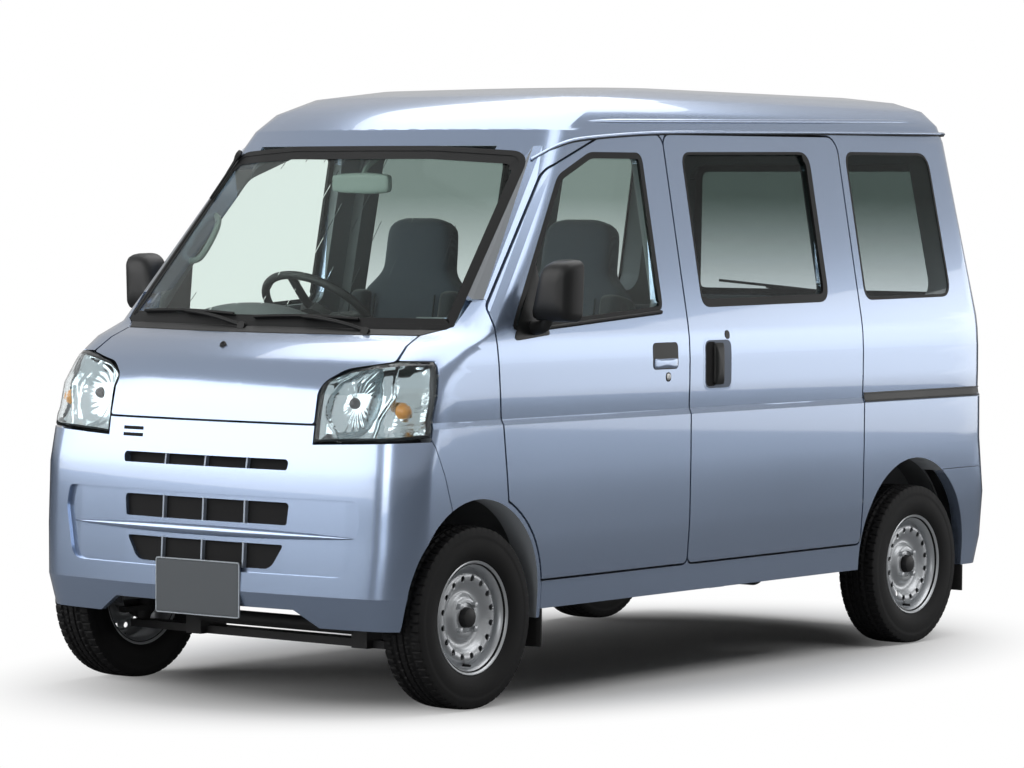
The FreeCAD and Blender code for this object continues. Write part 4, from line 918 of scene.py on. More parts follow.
def end_block(name, place, left, right, low, high, front, back, columns):
    """A block that follows the nose or the tail, between two depths under the skin."""
    points = []
    for i in range(columns + 1):
        x = left + (right - left) * i / columns
        points += [place(x, low, front), place(x, high, front), place(x, high, back), place(x, low, back)]
    last = 4 * columns
    faces = ring_faces(columns, 4) + [(0, 3, 2, 1), (last, last + 1, last + 2, last + 3)]
    return turn_out(mesh_object(name, points, faces), 30)


def bonded(name, parts, material, body):
    """One piece made of several parts in one finish and on its body."""
    for part in parts:
        part.data.materials.append(material)
    piece = bpy.data.objects.new(name, joined_mesh(name, parts))
    bpy.context.scene.collection.objects.link(piece)
    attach(piece, body)
    return piece


# Each opening's half width, low edge and high edge in mm, and the places of its upright bars.
OPENINGS = (("upper", 325, 706, 738), ("middle", 323, 545, 611), ("lower", 308, 414, 487))
BAR_PLACES, BAR_HALF = (-160, 0, 160), 2.8
for label, half, low, high in OPENINGS:
    tray = end_block("grille_tray_" + label, nose_point, -half, half, low - 2, high + 2, 27, 29.5, 16)
    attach(dress(tray, black_tray_and_painted_shade), "body")
    bars = [end_block("grille_bar", nose_point, place - BAR_HALF, place + BAR_HALF, low - 1, high + 1, 13,
                      27, 1)
            for place in BAR_PLACES]
    upright = bonded("grille_bars_" + label, bars, bar_plastic, "body")
    if label == "upper":
        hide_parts("grille")

# The blade across the bumper: its section goes up from its middle line and out, in shares of its
# half height and of its rise, and both fade toward its ends.
BLADE_HALF, BLADE_HEIGHT, BLADE_STEPS = 548, 516, 60
BLADE_SECTION = ((-1, -0.4), (-0.8, 0.45), (-0.3, 0.92), (0.25, 1.0), (0.75, 0.5), (1, -0.4))
points = []
for i in range(BLADE_STEPS + 1):
    x = -BLADE_HALF + 2 * BLADE_HALF * i / BLADE_STEPS
    fade = max(0.0, 1 - (x / BLADE_HALF) ** 2)
    half, rise = 2 + 15 * fade ** 0.8, 1 + 10 * fade ** 0.5
    points += [nose_point(x, BLADE_HEIGHT + half * up, 14 - rise * out) for up, out in BLADE_SECTION]
blade_bar = mesh_object("bumper_blade", points, ring_faces(BLADE_STEPS, len(BLADE_SECTION), closed=False))
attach(dress(turn_out(blade_bar, 50), paint), "body")
# Two near-black strips on the skin stand for open vent slots: painted shade.
for index, low in enumerate((783, 803)):
    slit = end_block("nose_vent_%d" % index, nose_point, -337, -253, low, low + 10, -0.4, 1.5, 6)
    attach(dress(slit, black_tray_and_painted_shade), "body")


def box_corners(left, low, right, high, corner):
    """Corners of a rounded rectangle."""
    return [(left, low, corner), (right, low, corner), (right, high, corner), (left, high, corner)]


def rounded_plate(name, place, wide, high, corner, thick, bevel):
    """A flat plate with round corners in its own XZ plane, facing -Y, its edges eased."""
    line = even(rounded(box_corners(-wide / 2, -high / 2, wide / 2, high / 2, corner)), 400)
    line = [p for i, p in enumerate(line) if math.dist(p, line[i - 1]) > 1e-4]
    count = len(line)
    points = [(x / 1000, depth, z / 1000)
              for ring, depth in ((offset_line(line, bevel * 1000), 0), (line, bevel), (line, thick)) for x,
              z in ring]
    faces = [tuple(range(count))] + ring_faces(2, count) + [tuple(range(2 * count, 3 * count))]
    piece = turn_out(mesh_object(name, points, faces))
    piece.location = place
    return piece


# Number plate
# Blank display plate of pressed sheet, dark grey with a pale rolled rim, on the lower bumper edge.

plate_grey = finish_of("plate_grey", (0.075, 0.085, 0.095), 0.42, variation=0.1, fine=500, bump=0.05)
plate_rim = finish_of("plate_rim", (0.42, 0.46, 0.50), 0.35, variation=0.05, fine=500, bump=0.03,
                      Metallic=0.5)
PLATE_FRONT, PLATE_HEIGHT = -1.6975, 0.347
plate = rounded_plate("number_plate", (0, PLATE_FRONT, PLATE_HEIGHT), 324, 159, 6, 0.004, 0.0004)
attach(dress(plate, plate_grey), "body")
rim_line = even(rounded(box_corners(-165, -82.5, 165, 82.5, 9)), 60)


def plate_spot(across, up, depth):
    """A spot on the number plate, from its middle in mm."""
    return Vector((across / 1000, PLATE_FRONT + depth / 1000, PLATE_HEIGHT + up / 1000))


plate_edge = strip_between("number_plate_rim", rim_line, offset_line(rim_line, 5), plate_spot, 5, 0)
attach(dress(plate_edge, plate_rim), "body")

# Cowl, wipers and washer
# Black moulded cowl below the screen, two parked wipers with jointed arms, one washer nozzle on the
# lid and a stowed rod aerial by the right roof corner.

cowl_plastic = finish_of("cowl_plastic", (0.010, 0.0105, 0.011), 0.5, variation=0.2, fine=1100, bump=0.3)
dress(nodes["cowl"], cowl_plastic)


def tube_faces(rings, sides):
    """Faces of a tube through rings of points, closed at both ends."""
    return ring_faces(rings - 1, sides) + [tuple(range(sides)), tuple(range((rings - 1) * sides,
                                                                            rings * sides))]


def rod(name, path, radius, sides=10, flat=1.0, radii=None):
    """A round or flattened bar along a path of points, closed at its ends."""
    path = [Vector(p) for p in path]
    points = []
    for i, spot in enumerate(path):
        way = (path[min(i + 1, len(path) - 1)] - path[max(i - 1, 0)]).normalized()
        first = way.cross(Vector((0, 0, 1)))
        first = first.normalized() if first.length > 0.05 else way.cross(Vector((0, 1, 0))).normalized()
        second = way.cross(first)
        size = radii[i] if radii else radius
        for k in range(sides):
            angle = 2 * math.pi * k / sides
            points.append(spot + first * size * math.cos(angle) * flat + second * size * math.sin(angle))
    return turn_out(mesh_object(name, points, tube_faces(len(path), sides)), 50)


def smooth_path(stops, steps=8):
    """A smooth line through a few points."""
    stops = [Vector(p) for p in stops]
    line = []
    for i in range(len(stops) - 1):
        p0, p1, p2, p3 = stops[max(i - 1, 0)], stops[i], stops[i + 1], stops[min(i + 2, len(stops) - 1)]
        for k in range(steps):
            t = k / steps
            line.append(0.5 * ((2 * p1) + (p2 - p0) * t + (2 * p0 - 5 * p1 + 4 * p2 - p3) * t * t
                               + (3 * p1 - p0 - 3 * p2 + p3) * t ** 3))
    line.append(stops[-1])
    return line


# Shape of a wiper arm: share of the way to the tip, rise above the blade's line and lift off the skin.
ARM_SHAPE = ((0, -34, 7), (0.08, -26, 13), (0.25, -10, 18), (0.45, 1, 17), (0.57, 4, 14))
for side, pivot, tip, high in (("right", -70, -560, 1150), ("left", 395, -40, 1143)):
    blade = [nose_point(pivot + (tip - pivot) * (0.12 + 0.88 * k / 14), high + 6 * math.sin(k / 4.5), -11)
             for k in range(15)]
    holder = [nose_point(pivot + (tip - pivot) * t, high + rise, -lift) for t, rise, lift in ARM_SHAPE]
    edge = [p + Vector((0, 0.006, -0.004)) for p in blade]
    hub = [nose_point(pivot, high - 38, 4), nose_point(pivot, high - 34, -16)]
    parts = [rod("wiper_blade", blade, 0.005, 8, 0.7), rod("wiper_arm", smooth_path(holder), 0.0065, 8, 0.8),
             rod("wiper_edge", edge, 0.0035, 6), rod("wiper_hub", hub, 0.014, 20)]
    bonded("wiper_" + side, parts, rubber, "body")
nozzle_path = [nose_point(-50, 1060, 1), nose_point(-50, 1060, -5), nose_point(-50, 1062, -8)]
nozzle = rod("washer_nozzle", nozzle_path, 0.01, 16, radii=[0.012, 0.011, 0.005])
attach(dress(nozzle, cap_plastic), "bonnet_lid")
aerial_path = mirrored([side_point(300, 1500, -8), side_point(375, 1590, -11), side_point(430, 1650, -13)],
                       True)
aerial = rod("roof_aerial", smooth_path(aerial_path, 5), 0.006, 10,
             radii=[0.004] * 5 + [0.005] * 3 + [0.009, 0.010, 0.008])
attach(dress(aerial, cap_plastic), "body")

# Side fittings
# Drip flange along the roof joint with a dark strip of painted shadow under it, lift-flap handles and
# locks on the front doors, upright pull handles on the sliding doors, and the black rail that the
# sliding doors run on.

# Near-black finish for handles, locks, the rail and the door sail. It is also painted shade in the front
# doors' handle openings and key slots.
handle_dark_and_shade = finish_of("handle_dark_and_shade", (0.008, 0.009, 0.009), 0.36, variation=0.2, fine=1200, bump=0.12,
                        Specular_IOR_Level=0.4)
# Darker body paint for the sliding doors' handle cups: painted shade of the recess.
cup_shade = finish_of("handle_cup_painted_shade", (0.10, 0.125, 0.17), 0.4, variation=0.06, fine=2400, bump=0.05,
                      Metallic=0.4)
lock_steel = finish_of("lock_steel", (0.5, 0.5, 0.5), 0.25, variation=0.1, fine=600, bump=0.05, Metallic=1.0)


def side_patch(name, corners, low, high, flip, gap=25, crown=0.0):
    """A rounded patch on the side between two depths, crowned at its middle."""
    line = even(rounded(corners), gap)
    middle = (sum(p[0] for p in line) / len(line), sum(p[1] for p in line) / len(line))
    rings = [(line, low), (line, high + (0.6 if crown else 0))]
    for share, rise in ((0.10, 0.35), (0.25, 0.7), (0.5, 0.92), (0.8, 1.0)):
        rings.append(([(p[0] + (middle[0] - p[0]) * share, p[1] + (middle[1] - p[1]) * share) for p in line],
                      high - crown * rise))
    points = [side_point(along, up, depth) for ring, depth in rings for along, up in ring]
    points.append(side_point(*middle, high - crown))
    count, last = len(line), (len(rings) - 1) * len(line)
    faces = ring_faces(len(rings) - 1, count)
    faces += [(last + i, last + (i + 1) % count, len(points) - 1) for i in range(count)]
    return turn_out(mesh_object(name, mirrored(points, flip), faces), 50)


# Patches of the handles and locks, in mm: outline, spacing of its points, height over the skin and
# crown, then finish and slot. The first table rides on the front door, the second on the body.
DOOR_PATCHES = (
    # The dark cup above the flap and the key slot stand for shaded openings: painted shade.
    ("door_cup", box_corners(879, 977, 1015, 1061, 18), 25, 0.6, 0, handle_dark_and_shade, "black_plastic"),
    ("door_flap", box_corners(884, 980, 1010, 1011, 10), 25, 2.5, 3, paint, "body_paint"),
    ("door_lock_ring", box_corners(947, 938, 977, 968, 14.9), 8, 0.5, 0.5, handle_dark_and_shade, "black_plastic"),
    ("door_lock", box_corners(951, 942, 973, 964, 10.9), 8, 1.4, 1, lock_steel, "bare_steel"),
    ("door_key_slot", box_corners(960, 947, 964, 959, 1.5), 25, 2.6, 0, handle_dark_and_shade, "black_plastic"))
SLIDER_PATCHES = (
    ("slider_lock_ring", box_corners(1275, 1063, 1305, 1093, 14.9), 8, 0.5, 0.5, handle_dark_and_shade,
     "black_plastic"),
    ("slider_cup_rim", box_corners(1156, 904, 1316, 1070, 32), 25, 0.6, 0, paint, "body_paint"),
    # Inside the sliding door's cup, the darker paint and the near-black patch at its front are painted shade
    # of the recess.
    ("slider_cup", box_corners(1163, 911, 1309, 1063, 27), 25, 1.0, 0, cup_shade, "body_paint"),
    ("slider_cup_back", box_corners(1167, 917, 1226, 1058, 22), 25, 1.5, 0, black_tray_and_painted_shade, "black_plastic"),
    ("slider_pull", box_corners(1206, 922, 1256, 1054, 9), 25, 10, 7, handle_dark_and_shade, "black_plastic"))
# The drip rail's route on the roof joint: distance behind the front axle and height.
DRIP = ((428, 1622), (540, 1672), (700, 1694), (1079, 1716), (1600, 1726), (2091, 1735), (2748, 1744),
        (2840, 1743))
SWAGE_START, SWAGE_LENGTH, SWAGE_STEPS = 640, 2010, 40
RAIL_LOW, RAIL_HIGH, RAIL_STEPS = 842, 869, 22
RAIL_SECTION = ((RAIL_LOW - 4, 1), (RAIL_LOW - 4, -2.2), (RAIL_LOW, -2.6), (RAIL_LOW + 1, -0.6),
                (RAIL_HIGH - 5, -0.6), (RAIL_HIGH - 4, -2.8), (RAIL_HIGH, -2.4), (RAIL_HIGH, 1))


def swage_spot(k):
    """A spot on the pressed line along the roof's edge, which rises slowly toward the tail."""
    along = SWAGE_START + SWAGE_LENGTH * k / SWAGE_STEPS
    return side_point(along, 1744 + 38 * (along - 761) / 1866, 5.0)


for side, flip in (("left", False), ("right", True)):
    door = "front_door_" + side
    path = smooth_path(mirrored([side_point(along, up, -2.5) for along, up in DRIP], flip), 6)
    drip = rod("drip_rail_" + side, path, 0.0055)
    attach(dress(drip, paint), "body")
    # A thin dark rod just under the drip rail, in the rubber finish, is painted shadow of the gap beneath the
    # flange.
    drip_shadow_path = [p + Vector((0.0012 if flip else -0.0012, 0, -0.0055)) for p in path]
    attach(dress(rod("drip_seal_" + side, drip_shadow_path, 0.0035, 8), rubber), "body")
    swage = mirrored([swage_spot(k) for k in range(SWAGE_STEPS + 1)], flip)
    sizes = [0.009 * min(1, 0.35 + min(k, SWAGE_STEPS - k) / 6) for k in range(SWAGE_STEPS + 1)]
    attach(dress(rod("roof_swage_" + side, swage, 0.009, 16, radii=sizes), paint), "body")
    for body, patches in ((door, DOOR_PATCHES), ("body", SLIDER_PATCHES)):
        for name, corners, gap, high, crown, finish, slot in patches:
            patch = side_patch("%s_%s" % (name, side), corners, 1, -high, flip, gap, crown)
            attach(dress(patch, finish), body)
    points = [side_point(2098 + 36 * k, up, depth) for k in range(RAIL_STEPS) for up, depth in RAIL_SECTION]
    rail = mesh_object("slider_rail_" + side, mirrored(points, flip),
                       ring_faces(RAIL_STEPS - 1, 8, closed=False))
    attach(dress(turn_out(rail, 30), handle_dark_and_shade), "body")
    belt = [side_point(a, 1110 + (a - 160) * 50 / 795 - 4, -1.5) for a in (345 + 59.5 * k for k in range(11))]
    belt_strip = rod("door_belt_strip_" + side, mirrored(belt, flip), 0.007, 8)
    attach(dress(belt_strip, rubber), door)
    sail = side_patch("door_sail_" + side, [(166, 1080, 16), (352, 1096, 8), (330, 1312, 5)], 3, -1.5, flip,
                      crown=1.5)
    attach(dress(sail, handle_dark_and_shade), door)

# Door mirrors
# Moulded black housings with rounded corners on short arms from the doors' front corners, each with
# a flat silvered glass set into its rear.

mirror_plastic = finish_of("mirror_plastic", (0.012, 0.0125, 0.013), 0.42, variation=0.2, broad=6, fine=1300,
                           bump=0.2, Specular_IOR_Level=0.4)
mirror_glass = finish_of("mirror_silver", (0.80, 0.82, 0.84), 0.03, variation=0.02, fine=200, spread=0.02,
                         bump=0.0, Metallic=1.0)
# Housing outline in mm, the middle it draws in to, and its rings: distance behind the axle and size.
HOUSING = [(734, 1138, 22), (886, 1138, 28), (893, 1322, 30), (782, 1326, 85)]
HOUSING_MIDDLE = (820, 1228)
HOUSING_RINGS = ((213, 0.30), (214.5, 0.5), (218, 0.68), (225, 0.82), (236, 0.91), (252, 0.965), (272, 0.995),
                 (292, 1.0), (297, 0.995), (299, 0.965), (297, 0.94), (290, 0.925))
GLASS_RING = (290.5, 0.925)
ARM_STOPS = ((0.722, 272, 1.118), (0.742, 270, 1.119), (0.768, 266, 1.127), (0.790, 262, 1.16))
housing_line = even(rounded(HOUSING, 8), 14)


def housing_ring(along, size, way):
    """The housing's outline at one distance behind the front axle, drawn in to a size."""
    middle = HOUSING_MIDDLE
    return [(way * (middle[0] + (a - middle[0]) * size) / 1000, (FRONT_AXLE + along) / 1000,
             (middle[1] + (u - middle[1]) * size) / 1000) for a, u in housing_line]


for side, way in (("left", 1), ("right", -1)):
    count = len(housing_line)
    points = [spot for along, size in HOUSING_RINGS for spot in housing_ring(along, size, way)]
    faces = ring_faces(len(HOUSING_RINGS) - 1, count) + [tuple(range(count))]
    housing = turn_out(mesh_object("mirror_housing_" + side, points, faces), 60)
    silver = turn_out(mesh_object("mirror_glass_" + side, housing_ring(*GLASS_RING, way),
                                  [tuple(range(count))]), 60)
    arm_path = smooth_path([(way * x, (FRONT_AXLE + along) / 1000, z) for x, along, z in ARM_STOPS], 6)
    arm = rod("mirror_arm_" + side, arm_path, 0.024, 20,
              radii=[0.022 - 0.004 * k / (len(arm_path) - 1) for k in range(len(arm_path))])
    for piece, finish, slot in ((housing, mirror_plastic, "black_plastic"),
                                (silver, mirror_glass, "window_glass"),
                                (arm, mirror_plastic, "black_plastic")):
        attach(dress(piece, finish), "front_door_" + side)
    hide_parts("mirror_" + side)

# Cabin
# Grey moulded dashboard, three-spoke steering wheel with a soft grip, two front seats and a rear
# bench in dark blue-grey cloth over foam, an inner mirror and a grip on the right screen pillar.

dash_plastic = finish_of("dash_plastic", (0.16, 0.17, 0.18), 0.62, variation=0.12, fine=1500, bump=0.4)
dress(nodes["dashboard"], dash_plastic)
mat_vinyl = finish_of("floor_vinyl", (0.09, 0.095, 0.10), 0.7, variation=0.15, fine=500, bump=0.3)
dress(nodes["floor_pan"], mat_vinyl)


def cloth_finish(name, color, light):
    """Woven seat cloth: two crossing waves make the weave, with a soft sheen."""
    material = finish_of(name, color, 0.85, variation=0.25, broad=5, fine=1200, bump=0.5, depth=0.0008,
                         Sheen_Weight=0.5, Sheen_Roughness=0.5)
    tree = material.node_tree
    surface = tree.nodes["Principled BSDF"].inputs
    place = tree.nodes.new("ShaderNodeTexCoord").outputs["Object"]
    warp, weft = (add_node(tree, "ShaderNodeTexWave", {"bands_direction": way}, Vector=place, Scale=160.0)
                  for way in "XZ")
    weave = maths(tree, "MULTIPLY", warp.outputs["Fac"], weft.outputs["Fac"])
    thread = add_node(tree, "ShaderNodeMix", {"data_type": "RGBA"}, i0=weave,
                      i6=surface["Base Color"].links[0].from_socket, i7=(*light, 1))
    raised = add_node(tree, "ShaderNodeBump", Strength=0.4, Distance=0.001, Height=weave,
                      Normal=surface["Normal"].links[0].from_socket)
    tree.links.new(thread.outputs[2], surface["Base Color"])
    tree.links.new(raised.outputs[0], surface["Normal"])
    return material


seat_cloth = cloth_finish("seat_cloth", (0.045, 0.06, 0.085), (0.10, 0.12, 0.16))
bolster_cloth = cloth_finish("bolster_cloth", (0.030, 0.036, 0.045), (0.055, 0.062, 0.075))


def cushion(name, rings, sides=48, power=4.0):
    """A closed crowned pad through rings (centre, half width vector, half depth vector)."""
    points = []
    for centre, wide, deep in rings:
        centre, wide, deep = Vector(centre), Vector(wide), Vector(deep)
        for k in range(sides):
            angle = 2 * math.pi * k / sides
            c, s = math.cos(angle), math.sin(angle)
            x = math.copysign(abs(c) ** (2 / power), c)
            y = math.copysign(abs(s) ** (2 / power), s)
            spot = centre + wide * x + deep * y
            swell = noise.noise(spot * 9) * 0.0035
            points.append(spot + (deep * y + wide * x).normalized() * swell)
    piece = turn_out(mesh_object(name, points, tube_faces(len(rings), sides)), 80)
    soft = piece.modifiers.new("foam", "SUBSURF")
    soft.levels = soft.render_levels = 1
    return piece


def drawn_in(t, least, start, end):
    """Share of a pad's full size: drawn in on a round curve near its start and its end."""
    near = min(t / start, (1 - t) / end, 1.0)
    return least + (1 - least) * math.sqrt(max(0.0, 1 - (1 - near) ** 2))


def back_rings(x, width_at, low, high, base_y, depth_at, count=26):
    """Rings up a leaning back rest, drawn in at both ends."""
    rings = []
    for i in range(count + 1):
        t = i / count
        z = low + (high - low) * t
        pull = drawn_in(t, 0.62, 0.06, 0.07)
        deep = depth_at(t) * pull
        rings.append(((x, base_y + BACK_LEAN * (z - low), z), (width_at(t) * pull, 0, 0),
                      (0, deep, -deep * 0.2)))
    return rings


def cushion_rings(x, half, front, rear, low, high, count=20):
    """Rings from the front to the rear of a seat cushion, crowned and with a rolled front edge."""
    rings = []
    for i in range(count + 1):
        t = i / count
        pull = drawn_in(t, 0.60, 0.12, 0.06)
        thick = (high - low) / 2 * (1 - 0.12 * t) * pull
        rings.append(((x, front + (rear - front) * t, low + thick), (half * (0.96 + 0.04 * pull), 0, 0),
                      (0, 0, thick)))
    return rings


def shoulder_width(t):
    """Half width of a front seat's back: full to the shoulders, then the tall head rest."""
    if t < 0.60:
        return 0.205 + 0.018 * math.sin(t / 0.60 * math.pi)
    if t < 0.74:
        share = (t - 0.60) / 0.14
        return 0.205 - 0.072 * (3 * share ** 2 - 2 * share ** 3)
    return 0.133 - 0.012 * ((t - 0.74) / 0.26) ** 2


# Seats in metres: places across, and each back rest's foot, base along and half depth.
AXLE, BACK_LEAN = FRONT_AXLE / 1000, 0.16
SEAT_X, SEAT_FOOT, SEAT_BASE = 0.322, 0.80, AXLE + 0.965
BENCH_FOOT, BENCH_BASE, BENCH_DEPTH = 0.76, AXLE + 1.905, 0.048


def upholstered(piece, cloth):
    """A pad in its cloth and on its body."""
    dress(piece, cloth)
    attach(piece, "body")
    return piece


for side, x in (("left", SEAT_X), ("right", -SEAT_X)):
    back_rest = cushion("seat_back_" + side, back_rings(x, shoulder_width, SEAT_FOOT, 1.440, SEAT_BASE,
                                                        lambda t: 0.058 if t < 0.62 else 0.050))
    upholstered(back_rest, seat_cloth)
    upholstered(cushion("seat_cushion_" + side, cushion_rings(x, 0.228, AXLE + 0.565, AXLE + 0.985, 0.702,
                                                              0.846)),
                seat_cloth)
    if side == "left":
        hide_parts("front_seats")
    for way in (-1, 1):
        wing = back_rings(x + way * 0.185, lambda t: 0.036, 0.86, 1.20, AXLE + 0.95, lambda t: 0.070)
        upholstered(cushion("seat_bolster_%s_%s" % (side, "out" if way * x > 0 else "in"), wing, 28, 3.0),
                    bolster_cloth)
bench = cushion("rear_bench_cushion", cushion_rings(0, 0.55, AXLE + 1.505, AXLE + 1.90, 0.642, 0.795, 22),
                64, 6.0)
bench_back = cushion("rear_bench_back", back_rings(0, lambda t: 0.545, BENCH_FOOT, 1.148, BENCH_BASE,
                                                   lambda t: BENCH_DEPTH), 64, 6.0)
upholstered(bench, seat_cloth)
upholstered(bench_back, seat_cloth)
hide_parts("rear_seat")

# Sewn cords on the back rests: middle, upright lines across, foot, base, half depth and length.
WELTS = (("left", SEAT_X, (-0.125, 0.125), SEAT_FOOT, SEAT_BASE, 0.058, 0.34),
         ("right", -SEAT_X, (-0.125, 0.125), SEAT_FOOT, SEAT_BASE, 0.058, 0.34),
         ("bench", 0, (-0.36, -0.12, 0.12, 0.36), BENCH_FOOT, BENCH_BASE, BENCH_DEPTH, 0.33))
CORD_RADIUS, CORD_OUT = 0.0032, 0.0035
welt_cord = finish_of("welt_cord", (0.018, 0.022, 0.028), 0.7, variation=0.2, fine=1600, bump=0.4)
for label, middle_x, lines, low, base_y, deep, tall in WELTS:
    paths = [[(middle_x + shift, base_y + BACK_LEAN * (tall * t) - deep * (0.99 + 0.012 * tall * t)
               - CORD_OUT,
               low + 0.04 + tall * t + deep * 0.2) for t in (0, 0.2, 0.4, 0.6, 0.8, 1.0)] for shift in lines]
    paths.append([(middle_x + lines[0] + (lines[-1] - lines[0]) * t,
                   base_y + BACK_LEAN * 0.25 - deep - CORD_OUT,
                   low + 0.29 + deep * 0.2) for t in (0, 0.25, 0.5, 0.75, 1.0)])
    bonded("seat_welts_" + label, [rod("welt_form", path, CORD_RADIUS, 8) for path in paths], welt_cord,
           "body")

grip_vinyl = finish_of("grip_vinyl", (0.035, 0.037, 0.04), 0.5, variation=0.2, fine=1400, bump=0.3)
WHEEL_HUB = Vector((-0.340, AXLE + 0.549, 1.137))
GRIP_RADIUS, GRIP_SIZE, GRIP_STEPS, GRIP_SIDES = 0.189, 0.0135, 72, 12
column_way = Vector((0, math.cos(math.radians(50)), math.sin(math.radians(50))))


def wheel_way(angle):
    """Direction from the steering wheel's hub toward one place on its grip."""
    across = Vector((1, 0, 0))
    return across * math.cos(angle) + column_way.cross(across) * math.sin(angle)


grip_points = []
for angle in (2 * math.pi * i / GRIP_STEPS for i in range(GRIP_STEPS)):
    for bend in (2 * math.pi * k / GRIP_SIDES for k in range(GRIP_SIDES)):
        grip_points.append(WHEEL_HUB + wheel_way(angle) * (GRIP_RADIUS + GRIP_SIZE * math.cos(bend))
                           + column_way * GRIP_SIZE * math.sin(bend))
grip_faces = ring_faces(GRIP_STEPS, GRIP_SIDES, loop=True)
steering_parts = [turn_out(mesh_object("wheel_grip_form", grip_points, grip_faces), 80)]
for angle in (0, 180, 270):
    spoke = [WHEEL_HUB + wheel_way(math.radians(angle)) * far - column_way * low
             for far, low in ((0.03, 0.016), (0.10, 0.012), (0.184, 0))]
    steering_parts.append(rod("wheel_spoke_form", smooth_path(spoke, 5), 0.014, 12))
pad_stops = [WHEEL_HUB + column_way * far for far in (-0.03, -0.006, 0.004, 0.009)]
steering_parts.append(rod("wheel_pad_form", pad_stops, 0.06, 36, radii=[0.056, 0.062, 0.050, 0.022]))
steering = bonded("steering_wheel_full", steering_parts, grip_vinyl, "steering_wheel")
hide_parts("steering_wheel")

mirror_shell = finish_of("inner_mirror_shell", (0.30, 0.36, 0.34), 0.5, variation=0.08, fine=900, bump=0.15)
inner_rings = []
for i in range(17):
    size = 0.45 + 0.55 * math.sin(math.pi * (0.06 + 0.88 * i / 16)) ** 0.4
    inner_rings.append(((-0.115 + 0.23 * i / 16, AXLE + 0.345, 1.548), (0, 0.016 * size, 0),
                        (0, 0, 0.033 * size)))
hood_rings = []
for i in range(25):
    lift = math.sin(math.pi * (0.04 + 0.92 * i / 24)) ** 0.55
    hood_rings.append(((-0.585 + 0.47 * i / 24, AXLE + 0.235, 1.085 + 0.02 * lift),
                       (0, 0.065 + 0.04 * lift, 0), (0, 0, 0.018 + 0.052 * lift)))
stalk_path = smooth_path([(0, AXLE + 0.350, 1.57), (0, AXLE + 0.372, 1.60), (0, AXLE + 0.425, 1.628)], 5)
grip_path = smooth_path([(-0.597, AXLE + 0.215, 1.30), (-0.560, AXLE + 0.222, 1.31),
                         (-0.548, AXLE + 0.25, 1.35),
                         (-0.546, AXLE + 0.285, 1.40), (-0.560, AXLE + 0.31, 1.435),
                         (-0.592, AXLE + 0.32, 1.45)], 6)
for piece, finish in ((cushion("inner_mirror", inner_rings, 32), mirror_shell),
                      (rod("inner_mirror_stalk", stalk_path, 0.008, 12), mirror_shell),
                      (rod("pillar_grip", grip_path, 0.010, 12), mirror_shell),
                      (cushion("dial_hood", hood_rings, 32, 2.6), dash_plastic)):
    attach(dress(piece, finish), "body")

# Tail
# Upright tail lamps with amber, red and clear parts behind one ribbed lens, a gate handle with its
# plate lamp bar, a rear wiper and two bumper reflectors.


def tail_lens():
    """Moulded lens whose colour changes with height: red, clear, amber and red again."""
    material = finish_of("tail_lens", (0.4, 0.02, 0.02), 0.16, variation=0.08, fine=250, bump=0.05,
                         Coat_Weight=0.8)
    tree = material.node_tree
    surface = tree.nodes["Principled BSDF"].inputs
    place = tree.nodes.new("ShaderNodeTexCoord").outputs["Object"]
    axes = add_node(tree, "ShaderNodeSeparateXYZ", Vector=place)
    ramp = add_node(tree, "ShaderNodeValToRGB", Fac=ranged(tree, axes.outputs["Z"], 0.65, 0.98))
    ramp.color_ramp.interpolation = "CONSTANT"
    stops = ramp.color_ramp.elements
    red, clear, amber_part = (0.42, 0.012, 0.012, 1), (0.62, 0.64, 0.66, 1), (0.75, 0.24, 0.02, 1)
    stops[0].position, stops[0].color = 0.0, red
    stops[1].position, stops[1].color = 0.30, clear
    for at, color in ((0.48, amber_part), (0.66, red)):
        stops.new(at).color = color
    tree.links.new(ramp.outputs["Color"], surface["Base Color"])
    ribs = add_node(tree, "ShaderNodeTexWave", {"bands_direction": "Z"}, Vector=place, Scale=28.0)
    raised = add_node(tree, "ShaderNodeBump", Strength=0.5, Distance=0.002, Height=ribs.outputs["Fac"])
    tree.links.new(raised.outputs[0], surface["Normal"])
    return material


dress(nodes["tail_lamps"], tail_lens())


def tail_block(name, left, right, low, high, front, back, columns=10):
    """A block that follows the tail, with eased edges."""
    piece = end_block(name, tail_point, left, right, low, high, front, back, columns)
    ease = piece.modifiers.new("eased_edges", "BEVEL")
    ease.width = 0.003
    ease.segments = 2
    return piece


for name, box, finish in (("gate_handle_bar", (-330, 330, 838, 872, -17, 2), cap_plastic),
                          ("gate_pull", (-60, 60, 826, 842, -15, 2), handle_dark_and_shade),
                          ("gate_plate_field", (-172, 172, 650, 822, -1.2, 2), black_tray_and_painted_shade),
                          ("gate_plate", (-165, 165, 655, 818, -3.2, 0), plate_grey)):
    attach(dress(tail_block(name, *box), finish), "tailgate")
reflector_red = finish_of("reflector_red", (0.42, 0.012, 0.012), 0.2, variation=0.1, fine=300, bump=0.1,
                          Coat_Weight=0.7)
for side, place in (("left", 520), ("right", -520)):
    block = tail_block("bumper_reflector_" + side, place - 40, place + 40, 470, 496, -3, 2, 3)
    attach(dress(block, reflector_red), "body")
rear_blade = [tail_point(-10 - 26 * k, 1186 + 2.0 * k, -10) for k in range(17)]
rear_arm = smooth_path([tail_point(30, 1140, -7), tail_point(10, 1152, -17), tail_point(-120, 1180, -19),
                        tail_point(-230, 1200, -13)], 6)
rear_hub = [tail_point(34, 1138, 3), tail_point(34, 1138, -18)]
bonded("rear_wiper", [rod("rear_blade_form", rear_blade, 0.005, 8), rod("rear_arm_form", rear_arm, 0.007, 8),
                      rod("rear_hub_form", rear_hub, 0.019, 24)], rubber, "tailgate")

# Underside
# Black-coated rails, arms, axle and tank, a cast engine and gearbox, a dull steel exhaust and black
# sheet-rubber flaps behind each wheel.

